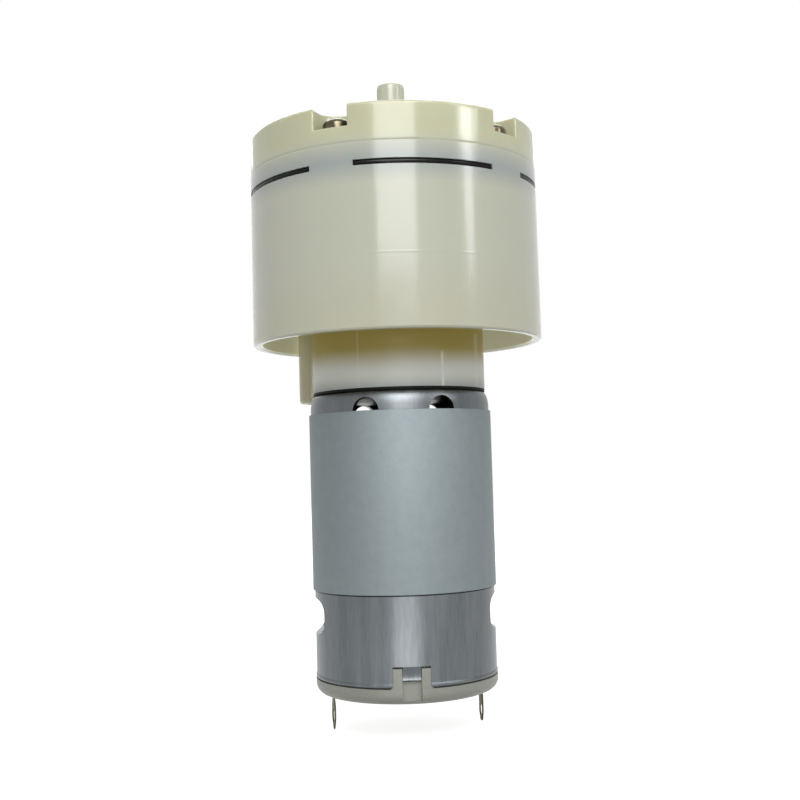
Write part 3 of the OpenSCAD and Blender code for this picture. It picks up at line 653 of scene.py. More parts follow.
class Loops:
    """A bmesh made of stacked closed loops of points, in millimetres."""

    def __init__(self) -> None:
        """Starts with no points."""
        self.shape = bmesh.new()

    def loop(self, points: list[tuple[float, float, float]]) -> Loop:
        """Adds points and returns them as a loop."""
        return [self.shape.verts.new(p) for p in points]

    def circle(self, radius: float, height: float, count: int, centre: Point = (0, 0)) -> Loop:
        """Adds a level circle.

        Args:
            radius: Its radius.
            height: Its height.
            count: Number of points.
            centre: Its centre, x and y.

        Returns:
            The loop.
        """
        flat = [around(turn, radius) for turn in turns(count)]
        return self.loop([(centre[0] + x, centre[1] + y, height) for x, y in flat])

    def bridge(self, *stack: Loop) -> None:
        """Joins each loop to the next with quads.

        Args:
            *stack: Loops of the same count, in order.
        """
        for low, high in zip(stack, stack[1:]):
            for i in range(len(low)):
                j = (i + 1) % len(low)
                self.shape.faces.new((low[i], low[j], high[j], high[i]))

    def lathe(self, profile: list[Point], count: int) -> list[Loop]:
        """Spins a profile round the axis.

        Args:
            profile: Points of radius and height. A radius of 0 at an end closes that end with a point.
            count: Number of points round the axis.

        Returns:
            The loops, one for each profile point with a radius.
        """
        loops = [self.circle(radius, height, count) for radius, height in profile if radius > 0]
        self.bridge(*loops)
        for rim, (radius, height) in ((loops[0], profile[0]), (loops[-1], profile[-1])):
            if radius <= 0:
                self.fan(rim, (0, 0, height))
        return loops

    def fan(self, rim: Loop, tip: tuple[float, float, float]) -> None:
        """Closes a loop with triangles to one new point.

        Args:
            rim: The loop.
            tip: The point's place.
        """
        top = self.shape.verts.new(tip)
        for i in range(len(rim)):
            self.shape.faces.new((rim[i], rim[(i + 1) % len(rim)], top))

    def fill(self, *loops: Loop) -> None:
        """Fills the flat space between a loop and the loops inside it with triangles.

        Args:
            *loops: The loops.
        """
        edges = []
        for rim in loops:
            for i in range(len(rim)):
                pair = (rim[i], rim[(i + 1) % len(rim)])
                edges.append(self.shape.edges.get(pair) or self.shape.edges.new(pair))
        bmesh.ops.triangle_fill(self.shape, edges=edges, use_beauty=True)


@dataclass
class Grower:
    """A Geometry Nodes tree under construction, and the means to turn its result into a plain mesh."""

    name: str
    sizes: dict[str, float]
    tree: Tree = field(init=False)
    given: Node = field(init=False)

    def __post_init__(self) -> None:
        """Makes the tree with one named input for each size."""
        self.tree = bpy.data.node_groups.new(self.name, "GeometryNodeTree")
        self.tree.interface.new_socket("Geometry", in_out="OUTPUT", socket_type="NodeSocketGeometry")
        for size in self.sizes:
            self.tree.interface.new_socket(size, in_out="INPUT", socket_type="NodeSocketFloat")
        self.given = add_node(self.tree, "NodeGroupInput")

    def size(self, name: str) -> Socket:
        """Returns the socket of a named size."""
        return self.given.outputs[name]

    def add(self, kind: str, inputs: dict | None = None, **settings: object) -> Node:
        """Adds a node to this tree, as add_node does."""
        return add_node(self.tree, kind, inputs, **settings)

    def grow(self, geometry: Node, finish: Finish, move: Matrix | None = None) -> Mesh:
        """Ends the tree, runs it once and takes its result as a plain mesh.

        Args:
            geometry: The node to end with.
            finish: The finish that the tree sets.
            move: Where the result goes, if not where it is.

        Returns:
            The mesh, smooth shaded, with its place in its points.
        """
        real = self.add("GeometryNodeRealizeInstances", {0: geometry})
        smooth = self.add("GeometryNodeSetShadeSmooth", {0: real})
        coated = self.add("GeometryNodeSetMaterial", {0: smooth, 2: finish.material()})
        self.add("NodeGroupOutput", {0: coated})
        seed = new_object(self.name, bpy.data.meshes.new(self.name))
        modifier = seed.modifiers.new("grow", "NODES")
        modifier.node_group = self.tree
        for item in self.tree.interface.items_tree:
            if item.in_out == "INPUT":
                modifier[item.identifier] = float(self.sizes[item.name])
        graph = bpy.context.evaluated_depsgraph_get()
        mesh = bpy.data.meshes.new_from_object(seed.evaluated_get(graph))
        seed.modifiers.remove(modifier)
        bpy.data.objects.remove(seed)
        if move is not None:
            mesh.transform(move)
        mesh.set_sharp_from_angle(angle=math.radians(35))
        return mesh


@dataclass
class PanScrew:
    """A cross-recessed pan head screw, point down, its head's underside at height 0.

    Side, sink and cone are shares of the head's height. Reach, arm and the two slopes of the recess are shares
    of its radius.
    """

    head_r: float
    head_h: float
    shank_r: float
    length: float
    pitch: float = 1.0
    thread: float = 0.22
    count: int = 48
    rows_per_pitch: int = 6
    dome_rows: int = 16
    dome_crowding: float = 0.85
    edge: float = 0.12
    crest_slope: float = 3.2
    plain_neck: float = 0.3
    point_length: float = 1.3
    point_blunt: float = 0.12
    side: float = 0.45
    roundness: float = 2.4
    reach: float = 0.56
    arm: float = 0.13
    end_slope: float = 0.07
    wall_slope: float = 0.06
    sink: float = 0.55
    cone: float = 0.45

    def mesh(self) -> Mesh:
        """Builds the screw: threaded shank, neck, and domed head with its recess.

        Returns:
            The mesh, in metres.
        """
        loops = Loops()
        rows = int(self.length / self.pitch * self.rows_per_pitch)
        rings = [loops.loop([self.shank_point(turn, height) for turn in turns(self.count)])
                 for height in sweep(-self.length, 0.0, rows)[1:]]
        loops.fan(rings[0], (0, 0, -self.length))
        rings += [loops.circle(self.head_r - self.edge, 0, self.count),
                  loops.circle(self.head_r, self.edge, self.count)]
        for i in range(self.dome_rows):
            radius = self.head_r * math.cos((i / self.dome_rows) ** self.dome_crowding * math.pi / 2)
            rings.append(loops.loop([self.head_point(turn, radius) for turn in turns(self.count)]))
        loops.bridge(*rings)
        loops.fan(rings[-1], self.head_point(0, 0))
        return finished(loops.shape, 50)

    def shank_point(self, turn: float, height: float) -> tuple[float, float, float]:
        """Places a point of the threaded shank, whose crests wind up it and fade at both ends.

        Args:
            turn: Its turn round the axis, in radians.
            height: Its height, below 0.

        Returns:
            The point.
        """
        along = (height / self.pitch + turn / (2 * math.pi)) % 1.0
        crest = max(0.0, 1 - abs(along - 0.5) * self.crest_slope)
        fade = clipped((-height - self.plain_neck) / self.pitch)
        point = max(self.point_blunt, min(1.0, (height + self.length) / (self.shank_r * self.point_length)))
        radius = (self.shank_r - self.thread + self.thread * crest * fade) * point
        return *around(turn, radius), height

    def head_point(self, turn: float, radius: float) -> tuple[float, float, float]:
        """Places a point of the domed top, sunk where the cross recess is.

        Args:
            turn: Its turn round the axis, in radians.
            radius: Its distance from the axis.

        Returns:
            The point.
        """
        side = self.head_h * self.side
        dome = math.sqrt(max(0.0, 1 - min(1.0, radius / self.head_r) ** self.roundness))
        x, y = around(turn, radius)
        reach, arm = self.head_r * self.reach, self.head_r * self.arm
        inside = 0.0
        for along, across in ((abs(x), abs(y)), (abs(y), abs(x))):
            ends = clipped((reach - along) / (self.head_r * self.end_slope))
            walls = clipped((arm - across) / (self.head_r * self.wall_slope))
            inside = max(inside, ends * walls)
        depth = self.head_h * self.sink * (1 - self.cone * radius / reach) if radius < reach else 0.0
        return x, y, side + (self.head_h - side) * dome - depth * inside


@dataclass
class Turned:
    """A turned shape: a profile of radius and height. It is closed on itself unless it ends on the axis."""

    profile: list[Point]
    count: int = 40

    def mesh(self) -> Mesh:
        """Turns the profile round the axis.

        Returns:
            The mesh, in metres.
        """
        loops = Loops()
        rims = loops.lathe(self.profile, self.count)
        if self.profile[0][0] > 0:
            loops.bridge(rims[-1], rims[0])
        return finished(loops.shape)


@dataclass
class PieceCircle:
    """Copies of one piece that stand on a circle round the shaft, each turned by chance."""

    name: str
    one: PanScrew | Turned
    count: int
    radius: float
    first: float
    height: float
    node: str
    slot: str = "screw_steel"
    body: Body = Body.HOUSING
    move: Matrix | None = None
    seed: int = 4

    def build(self, finish: Finish) -> Piece:
        """Instances the piece on the circle.

        Args:
            finish: The finish of all the copies.

        Returns:
            The piece.
        """
        pattern = new_object("circle_pattern", self.one.mesh())
        tree = Grower(self.name, {"Count": self.count, "Radius": self.radius * MM, "Height": self.height * MM,
                                  "First": math.radians(self.first - 90)})
        row = tree.add("GeometryNodeMeshLine", {"Count": self.count})
        index = tree.add("GeometryNodeInputIndex")
        step = tree.add(MATH, {0: 2 * math.pi, 1: tree.size("Count")}, operation="DIVIDE")
        turn = tree.add(MATH, {0: index, 1: step}, operation="MULTIPLY")
        place = {}
        for axis, wave in enumerate(("COSINE", "SINE")):
            share = tree.add(MATH, {0: turn}, operation=wave)
            place[axis] = tree.add(MATH, {0: share, 1: tree.size("Radius")}, operation="MULTIPLY")
        circle = tree.add("GeometryNodeSetPosition", {
            "Geometry": row, "Position": tree.add("ShaderNodeCombineXYZ", place)})
        source = tree.add("GeometryNodeObjectInfo", {0: pattern})
        chance = tree.add("FunctionNodeRandomValue", {
            "Min": 0.0, "Max": 2 * math.pi, "Seed": self.seed}, data_type="FLOAT")
        placed = tree.add("GeometryNodeInstanceOnPoints", {
            "Points": circle, "Instance": source.outputs["Geometry"],
            "Rotation": tree.add("ShaderNodeCombineXYZ", {"Z": chance})})
        moved = tree.add("GeometryNodeTransform", {
            "Geometry": placed, "Translation": tree.add("ShaderNodeCombineXYZ", {"Z": tree.size("Height")}),
            "Rotation": tree.add("ShaderNodeCombineXYZ", {"Z": tree.size("First")})})
        mesh = tree.grow(moved, finish, self.move)
        bpy.data.objects.remove(pattern)
        return add_piece(self.name, mesh, finish, self.body, self.slot, self.node)


@dataclass
class SteelRing:
    """The rolled ring round the motor: a strip with rounded edges, bent round with a joint at the back."""

    radius: float = 18.51
    wall: float = 0.35
    length: float = 35.0
    split: float = 0.8
    edge: float = 0.12
    points: int = 193
    edge_points: int = 4

    def build(self) -> Piece:
        """Sweeps the strip's section along the arc.

        Returns:
            The piece.
        """
        middle = self.radius - self.wall / 2
        gap = self.split / middle
        tree = Grower("rolled_ring", {
            "Radius": middle * MM, "Wall": self.wall * MM, "Length": self.length * MM, "Edge": self.edge * MM,
            "Start": math.pi / 2 + gap / 2, "Sweep": 2 * math.pi - gap})
        arc = tree.add("GeometryNodeCurveArc", {
            "Resolution": self.points, "Radius": tree.size("Radius"), "Start Angle": tree.size("Start"),
            "Sweep Angle": tree.size("Sweep")}, mode="RADIUS")
        section = tree.add("GeometryNodeCurvePrimitiveQuadrilateral", {
            "Width": tree.size("Wall"), "Height": tree.size("Length")}, mode="RECTANGLE")
        rounded = tree.add("GeometryNodeFilletCurve", {
            "Curve": section, "Radius": tree.size("Edge"), "Count": self.edge_points}, mode="POLY")
        swept = tree.add("GeometryNodeCurveToMesh", {
            "Curve": arc, "Profile Curve": rounded, "Fill Caps": True})
        mesh = tree.grow(swept, Finishes.ring)
        return add_piece("steel_ring", mesh, Finishes.ring, Body.HOUSING, "ring_steel", "flux_ring")


@dataclass
class BrushSpring:
    """A coil spring behind one brush, wound from wire along the brush's slide."""

    side: Side
    inner: float = 10.15
    outer: float = 14.4
    coil_r: float = 1.15
    wire: float = 0.35
    winds: float = 6.5
    height: float = -29.2
    turn: float = 8.0
    stroke: float = 1.6
    wind_points: int = 28
    wire_points: int = 10

    def build(self) -> Piece:
        """Winds the spiral and sweeps the wire along it.

        Returns:
            The piece.
        """
        side = self.side.name.lower()
        angle = self.turn + 90 * self.side.value
        name = f"wound_spring_{side}"
        tree = Grower(name, {"Turns": self.winds, "Coil": self.coil_r * MM, "Wire": self.wire / 2 * MM,
                             "Length": (self.outer - self.inner - self.wire) * MM})
        spiral = tree.add("GeometryNodeCurveSpiral", {
            "Resolution": self.wind_points, "Rotations": tree.size("Turns"), "Start Radius": tree.size("Coil"),
            "End Radius": tree.size("Coil"), "Height": tree.size("Length")})
        section = tree.add("GeometryNodeCurvePrimitiveCircle", {
            "Resolution": self.wire_points, "Radius": tree.size("Wire")}, mode="RADIUS")
        swept = tree.add("GeometryNodeCurveToMesh", {
            "Curve": spiral, "Profile Curve": section, "Fill Caps": True})
        move = (Matrix.Rotation(math.radians(angle), 4, "Z")
                @ Matrix.Translation(Vector((0, -(self.inner + self.wire / 2), self.height)) * MM)
                @ Matrix.Rotation(math.pi / 2, 4, "X"))
        mesh = tree.grow(swept, Finishes.spring, move)
        piece = add_piece(name, mesh, Finishes.spring, Body.HOUSING, "spring_steel", f"brush_spring_{side}")
        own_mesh(piece)
        return piece


@dataclass
class CoilSet:
    """Five wound coils, one round each tooth of the armature, made of turns of enamelled wire."""

    poles: int = 5
    inner: float = 6.15
    outer: float = 9.05
    tooth: float = 4.2
    length: float = 26.2
    overhang: float = 2.2
    depth: float = 1.9
    wire: float = 0.46
    corner: float = 0.42
    corner_points: int = 5
    wire_points: int = 6

    def build(self) -> Piece:
        """Stacks layers of rounded wire loops along each tooth.

        Returns:
            The piece.
        """
        tree = Grower("wound_coils", {
            "Wire": self.wire / 2 * MM, "Tooth": self.tooth * MM, "Length": self.length * MM,
            "Inner": (self.inner + self.wire / 2) * MM, "Pitch": self.wire * MM})
        section = tree.add("GeometryNodeCurvePrimitiveCircle", {
            "Resolution": self.wire_points, "Radius": tree.size("Wire")}, mode="RADIUS")
        row = tree.add("GeometryNodeMeshLine", {
            "Count": int((self.outer - self.inner) / self.wire),
            "Start Location": tree.add("ShaderNodeCombineXYZ", {"Z": tree.size("Inner")}),
            "Offset": tree.add("ShaderNodeCombineXYZ", {"Z": tree.size("Pitch")})}, mode="OFFSET")
        joined = tree.add("GeometryNodeJoinGeometry")
        for layer in range(int(self.depth / self.wire)):
            grown = (2 * layer + 1) * self.wire * MM
            wide = tree.add(MATH, {0: tree.size("Tooth"), 1: grown}, operation="ADD")
            tall = tree.add(MATH, {0: tree.size("Length"), 1: grown + self.overhang * MM}, operation="ADD")
            path = tree.add("GeometryNodeCurvePrimitiveQuadrilateral", {
                "Width": wide, "Height": tall}, mode="RECTANGLE")
            bend = tree.add(MATH, {0: wide, 1: self.corner}, operation="MULTIPLY")
            bent = tree.add("GeometryNodeFilletCurve", {
                "Curve": path, "Count": self.corner_points, "Radius": bend, "Limit Radius": True}, mode="POLY")
            swept = tree.add("GeometryNodeCurveToMesh", {"Curve": bent, "Profile Curve": section})
            wound = tree.add("GeometryNodeInstanceOnPoints", {"Points": row, "Instance": swept})
            tree.tree.links.new(wound.outputs[0], joined.inputs[0])
        upright = tree.add("GeometryNodeTransform", {"Geometry": joined, "Rotation": (math.pi / 2, 0.0, 0.0)})
        hub = tree.add("GeometryNodeMeshCircle", {"Vertices": self.poles, "Radius": 0.0001 * MM})
        index = tree.add("GeometryNodeInputIndex")
        step = tree.add(MATH, {0: index, 1: 2 * math.pi / self.poles}, operation="MULTIPLY")
        coils = tree.add("GeometryNodeInstanceOnPoints", {
            "Points": hub, "Instance": upright, "Rotation": tree.add("ShaderNodeCombineXYZ", {"Z": step})})
        mesh = tree.grow(coils, Finishes.wire)
        return add_piece("wound_coils", mesh, Finishes.wire, Body.ROTOR, "copper", "windings")


@dataclass
class Cover:
    """The moulded lid: five open screw pockets with rounded mouths, a rounded rim and the outlet nozzle.

    The lips of the nozzle are how far in from its side, or out from its bore, and how far below its tip.
    """

    radius: float = 29.15
    low: float = 66.2
    top: float = 73.7
    edge: float = 0.6
    edge_steps: int = 6
    edge_flat: float = 0.2
    wall_low: float = 0.4
    wall_high: float = 0.3
    floor: float = 69.4
    roof: float = 69.2
    pocket_w: float = 6.9
    pocket_steps: int = 24
    side_steps: int = 5
    mouth: float = 0.3
    mouth_steps: int = 6
    mouth_slack: float = 0.02
    screw_r: float = 25.7
    hole: float = 1.5
    hole_points: int = 24
    first: float = -23.0
    count: int = 5
    rim_steps: int = 30
    sill_steps: int = 14
    band: Point = (0.5, 0.35)
    taper: float = 0.9945
    nozzle_r: float = 2.95
    nozzle_points: int = 96
    bore: float = 1.5
    tip: float = 85.8
    lip: tuple[Point, ...] = ((0.0, 1.2), (0.06, 0.5), (0.22, 0.18), (0.5, 0.0))
    bore_lip: tuple[Point, ...] = ((0.35, 0.0), (0.1, 0.1), (0.0, 0.35))
    root: float = 1.6
    root_steps: int = 8
    plenum: Point = (22.15, 12.1)
    chamber: float = 10.9
    groove: float = 67.0

    def pocket_outline(self, angle: float) -> list[tuple[float, ...]]:
        """Traces one pocket's wall from mouth to mouth.

        Args:
            angle: Angle of the pocket round the shaft.

        Returns:
            Points of x, y, the wall's outward direction seen from the plastic, and the way back from a corner.
        """
        half, mouth = self.pocket_w / 2, self.mouth
        reach = math.sqrt((self.radius - mouth) ** 2 - (half + mouth) ** 2)
        lean = math.atan2(half + mouth, reach)
        share = 1 / (1 - math.sin(lean))
        back = (math.cos(lean) * share, (1 - math.sin(lean)) * share)
        turned = [(math.cos(t), math.sin(t)) for t in sweep(-lean, math.pi / 2, self.mouth_steps)]
        lead = [(reach + mouth * c, -half - mouth + mouth * s, c, s, *back) for c, s in turned]
        lead += [(u, -half, 0.0, 1.0, 0.0, 1.0) for u in sweep(reach, self.screw_r, self.side_steps)[1:-1]]
        bend = [(self.screw_r + half * math.cos(t), half * math.sin(t), *(-math.cos(t), -math.sin(t)) * 2)
                for t in sweep(-math.pi / 2, -3 * math.pi / 2, self.pocket_steps)]
        mirrored = [(u, -v, nu, -nv, bu, -bv) for u, v, nu, nv, bu, bv in reversed(lead)]
        turn = math.radians(angle)
        out, side = around(turn, 1), (math.cos(turn), math.sin(turn))
        return [tuple(part for i in (0, 2, 4) for part in
                      (p[i] * out[0] + p[i + 1] * side[0], p[i] * out[1] + p[i + 1] * side[1]))
                for p in lead + bend + mirrored]

    def inset(self, point: tuple[float, ...], depth: float) -> Point:
        """Moves a point of the outline into the plastic, and keeps a mouth's corner from folding over.

        Args:
            point: A point as pocket_outline gives it.
            depth: How far to move it.

        Returns:
            The new x and y.
        """
        x, y, nx, ny, bx, by = point
        first = min(depth, self.mouth - self.mouth_slack)
        rest = depth - first
        return x - nx * first - bx * rest, y - ny * first - by * rest

    def mouth_half(self) -> float:
        """Returns half the angle, in degrees, that a pocket's mouth takes out of the rim."""
        return math.degrees(math.asin((self.pocket_w / 2 + self.mouth) / (self.radius - self.mouth)))

    def rim(self, start: float, end: float, steps: int) -> list[tuple[float, ...]]:
        """Traces the round side between two angles.

        Args:
            start: First angle, in degrees.
            end: Last angle.
            steps: Number of steps between them.

        Returns:
            Points as pocket_outline gives them, without the first and the last.
        """
        between = [math.radians(angle) for angle in sweep(start, end, steps)[1:-1]]
        return [(*around(turn, self.radius), *around(turn, 1) * 2) for turn in between]

    def outline(self) -> tuple[list[tuple[float, ...]], list[tuple[int, int]]]:
        """Traces the cover's whole outline above the pockets' floors.

        Returns:
            The points, and for each pocket the index of its first and last point.
        """
        step, open_half = 360 / self.count, self.mouth_half()
        points: list[tuple[float, ...]] = []
        spans = []
        for k in range(self.count):
            angle = self.first + k * step
            start = len(points)
            points += self.pocket_outline(angle)
            spans.append((start, len(points) - 1))
            points += self.rim(angle + open_half, angle + step - open_half, self.rim_steps)
        return points, spans

    def build(self, finish: Finish) -> Piece:
        """Builds the lid.

        Args:
            finish: The lid's finish.

        Returns:
            The piece.
        """
        loops = Loops()
        points, spans = self.outline()
        heights = [(self.floor, 0.0), (self.floor + self.wall_low, 0.0),
                   (self.top - self.edge - self.wall_high, 0.0)]
        heights += [(self.top - self.edge + self.edge * math.sin(t), self.edge * (1 - math.cos(t)))
                    for t in sweep(0.0, math.pi / 2, self.edge_steps)]
        heights.append((self.top, self.edge + self.edge_flat))
        wall = [loops.loop([(*self.inset(point, depth), height) for point in points])
                for height, depth in heights]
        loops.bridge(*wall)
        root, ceiling = self.nozzle(loops)
        loops.fill(wall[-1], root)
        base, holes = self.base(loops, wall[0], spans)
        loops.fill(base, ceiling, *holes)
        return add_piece("moulded_cover", finished(loops.shape, 30), finish, Body.HOUSING, "case_plastic",
                         "top_cover")

    def nozzle(self, loops: Loops) -> tuple[Loop, Loop]:
        """Lathes the outlet nozzle from its root round its tip and down its bore, with the chamber under it.

        Args:
            loops: The shape under construction.

        Returns:
            The loop where the nozzle's root meets the top, and the one where the plenum meets the underside.
        """
        profile = [(self.nozzle_r + self.root * (1 - math.sin(t)), self.top + self.root * (1 - math.cos(t)))
                   for t in sweep(0.0, math.pi / 2, self.root_steps)]
        profile.append((self.nozzle_r, self.top + self.root + 1))
        profile += [(self.nozzle_r - inward, self.tip - down) for inward, down in self.lip]
        profile += [(self.bore + outward, self.tip - down) for outward, down in self.bore_lip]
        outer, inner = self.plenum
        profile += [(self.bore, self.roof), (self.chamber, self.roof), (self.chamber, self.groove),
                    (inner, self.groove), (inner, self.roof), (outer, self.roof), (outer, self.low)]
        rings = loops.lathe(profile, self.nozzle_points)
        return rings[0], rings[-1]

    def base(self, loops: Loops, wall: Loop, spans: list[tuple[int, int]]) -> tuple[Loop, list[Loop]]:
        """Adds the round band below the pockets and the pockets' floors.

        Args:
            loops: The shape under construction.
            wall: The loop of the outline at the floors' height.
            spans: Each pocket's first and last index in the outline.

        Returns:
            The lid's lowest outer loop, and the screw holes' lowest loops.
        """
        rim: Loop = []
        holes = []
        step, open_half = 360 / self.count, self.mouth_half()
        for k, (start, end) in enumerate(spans):
            angle = self.first + k * step
            arc = self.rim(angle - open_half, angle + open_half, self.sill_steps)
            sill = loops.loop([(x, y, self.floor) for x, y, *_ in arc])
            centre = around(math.radians(angle), self.screw_r)
            hole, low = (loops.circle(self.hole, z, self.hole_points, centre) for z in (self.floor, self.low))
            loops.fill(wall[start:end + 1] + sill[::-1], hole)
            loops.bridge(hole, low)
            holes.append(low)
            rim += [wall[start], *sill, *wall[end:spans[k + 1][0] if k + 1 < len(spans) else len(wall)]]
        upper, middle = (loops.loop([(v.co.x, v.co.y, self.low + up) for v in rim]) for up in self.band)
        lowest = loops.loop([(v.co.x * self.taper, v.co.y * self.taper, self.low) for v in rim])
        loops.bridge(rim, upper, middle, lowest)
        return lowest, holes


@dataclass
class Diaphragm:
    """The rubber diaphragm, split where it rolls: a sheet with cup walls, and cup bottoms that nod in them."""

    sheet_low: float = 61.8
    wall_low: float = 54.8
    outer: float = 7.0
    wall: float = 0.8
    slack: float = 0.02
    corner: Point = (0.25, 0.2)
    overlap: float = 0.3
    count: int = 5
    radius: float = 15.0
    first: float = 13.0
    pivot: float = 51.5
    tilt: float = 5.0
    bottom: tuple[Point, ...] = (
        (0, -2.75), (1.2, -2.75), (1.8, -1.15), (1.2, -1.15), (1.2, 1.12), (2.6, 1.12), (2.7, 1.6),
        (3.6, 2.0), (4.5, 2.7), (5.1, 3.6), (5.4, 4.6), (5.4, 5.4), (5.2, 5.55), (4.8, 5.4),
        (4.8, 4.6), (4.5, 3.9), (3.9, 3.2), (3.0, 3.0), (0, 3.0))

    def build(self, finish: Finish) -> None:
        """Cuts the sheet off its CAD node and builds the walls on the housing and the bottoms on the wobble.

        Args:
            finish: The rubber.
        """
        shape = bmesh.new()
        shape.from_mesh(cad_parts["diaphragm"].data)
        bmesh.ops.bisect_plane(shape, geom=shape.verts[:] + shape.edges[:] + shape.faces[:], clear_inner=True,
                               plane_co=(0, 0, (self.sheet_low - self.slack) * MM), plane_no=(0, 0, 1))
        add_piece("diaphragm_sheet", plain_mesh("diaphragm_sheet", shape), finish, Body.HOUSING,
                  "diaphragm_rubber", "diaphragm")
        inner, top = self.outer - self.wall, self.sheet_low + self.overlap
        inward, up = self.corner
        tube = Turned([(self.outer - self.slack, top), (self.outer - self.slack, self.wall_low + up),
                       (self.outer - inward, self.wall_low), (inner + inward, self.wall_low),
                       (inner + self.slack, self.wall_low + up), (inner + self.slack, top)])
        move = Matrix.Translation((0, 0, self.pivot * MM)) @ Matrix.Rotation(math.radians(self.tilt), 4, "Y")
        for name, one, body, place in (("diaphragm_walls", tube, Body.HOUSING, None),
                                       ("diaphragm_bottoms", Turned(list(self.bottom)), Body.WOBBLE, move)):
            PieceCircle(name, one, self.count, self.radius, self.first, 0.0, "diaphragm", "diaphragm_rubber",
                        body, place).build(finish)


@dataclass
class PumpHead:
    """The pump's head: housing, diaphragm, valves, cover and screws."""

    cover: Cover = field(default_factory=Cover)
    diaphragm: Diaphragm = field(default_factory=Diaphragm)
    screw: PanScrew = field(default_factory=lambda: PanScrew(2.75, 2.4, 1.4, 14.0))

    def build(self) -> None:
        """Builds the new pieces and dresses the nodes that stay."""
        dress(Finishes.case, "pump_housing", "valve_plate")
        dress(Finishes.diaphragm, "inlet_valves", "outlet_valve")
        self.diaphragm.build(Finishes.diaphragm)
        dress(Finishes.rubber, "cover_seal")
        dress(Finishes.works, "diaphragm_seat")
        self.cover.build(Finishes.case)
        PieceCircle("cover_screw_set", self.screw, self.cover.count, self.cover.screw_r, self.cover.first,
                    self.cover.floor, "cover_screws").build(Finishes.screw)


@dataclass
class Works:
    """The moving works between motor and diaphragm."""

    screw: PanScrew = field(default_factory=lambda: PanScrew(2.6, 1.9, 1.45, 5.2, 0.5, 0.15))
    pitch: float = 25.0
    motor_turn: float = 3.0
    floor: float = 24.4

    def build(self) -> None:
        """Dresses the eccentric, pin and wobble plate and builds the motor's screws."""
        dress(Finishes.works, "eccentric", "wobble_plate")
        dress(Finishes.shaft, "crank_pin")
        PieceCircle("motor_screw_set", self.screw, 2, self.pitch / 2, 90 + self.motor_turn, self.floor,
                    "motor_screws").build(Finishes.screw)


@dataclass
class Terminal:
    """A stamped terminal blade with rounded edges and a long eye, twisted a little below the end cap."""

    side: Side
    twist: float
    tip_half: float
    eye_middle: float
    eye_half: float
    half: float = 1.15
    thick: float = 0.3
    radius: float = 15.0
    top: float = -26.8
    root: float = -38.6
    low: float = -45.3
    eye_r: float = 0.69
    eye_points: int = 32
    edge: float = 0.07
    bevel: float = 0.3
    shoulder: float = 0.3
    side_steps: int = 24
    tip_steps: int = 5
    tip_start: float = -0.1
    twist_length: float = 2.0
    turn: float = 8.0

    def outline(self, inset: float) -> list[Point]:
        """Traces the blade from its top right round its tip to its top left.

        Args:
            inset: How far the outline lies inside the blade's edge.

        Returns:
            Points of width and height.
        """
        half, tip = self.half - inset, self.tip_half - inset
        shoulder = self.eye_middle - self.eye_half * self.shoulder
        right = [(half, height) for height in sweep(self.top - inset, shoulder - inset, self.side_steps)]
        round_z = self.low + self.tip_half
        right += [(tip * math.cos(t), round_z + tip * math.sin(t))
                  for t in sweep(self.tip_start * math.pi, -math.pi / 2, self.tip_steps)]
        return right + [(-u, v) for u, v in reversed(right[:-1])]

    def eye(self, grow: float) -> list[Point]:
        """Traces the eye.

        Args:
            grow: How much wider it is than the hole.

        Returns:
            Points of width and height.
        """
        radius, straight = self.eye_r + grow, self.eye_half - self.eye_r
        points = []
        for t in turns(self.eye_points):
            middle = self.eye_middle + math.copysign(straight, math.sin(t))
            points.append((radius * math.cos(t), middle + radius * math.sin(t)))
        return points

    def build(self, finish: Finish) -> Piece:
        """Stacks the rounded edges, fills both faces and twists the blade.

        Args:
            finish: The blade's finish.

        Returns:
            The piece.
        """
        loops = Loops()
        half, edge = self.thick / 2, self.edge
        bevel = edge * self.bevel
        layers = [(-half, edge), (-half + bevel, bevel), (-half + edge, 0.0), (half - edge, 0.0),
                  (half - bevel, bevel), (half, edge)]
        rims = [loops.loop([(u, v, w) for u, v in self.outline(inset)]) for w, inset in layers]
        eyes = [loops.loop([(u, v, w) for u, v in self.eye(inset)]) for w, inset in layers]
        loops.bridge(*rims)
        loops.bridge(*eyes)
        loops.fill(rims[0], eyes[0])
        loops.fill(rims[-1], eyes[-1])
        for vert in loops.shape.verts:
            vert.co = self.placed(*vert.co)
        name = self.side.name.lower()
        return add_piece(f"stamped_terminal_{name}", finished(loops.shape, 40, 0.0001), finish, Body.HOUSING,
                         "terminal_brass", f"terminal_{name}")

    def placed(self, across: float, height: float, deep: float) -> Vector:
        """Twists a point of the flat blade and puts it at its place on the motor.

        Args:
            across: Its place across the blade.
            height: Its height.
            deep: Its place through the blade's thickness.

        Returns:
            The point.
        """
        share = clipped((self.root - height) / self.twist_length)
        turn = math.radians(self.twist * share * share * (3 - 2 * share))
        u = across * math.cos(turn) - deep * math.sin(turn)
        w = across * math.sin(turn) + deep * math.cos(turn)
        place = Matrix.Rotation(math.radians(self.turn + 90 * self.side.value), 3, "Z")
        return place @ Vector((u, -self.radius + w, height))


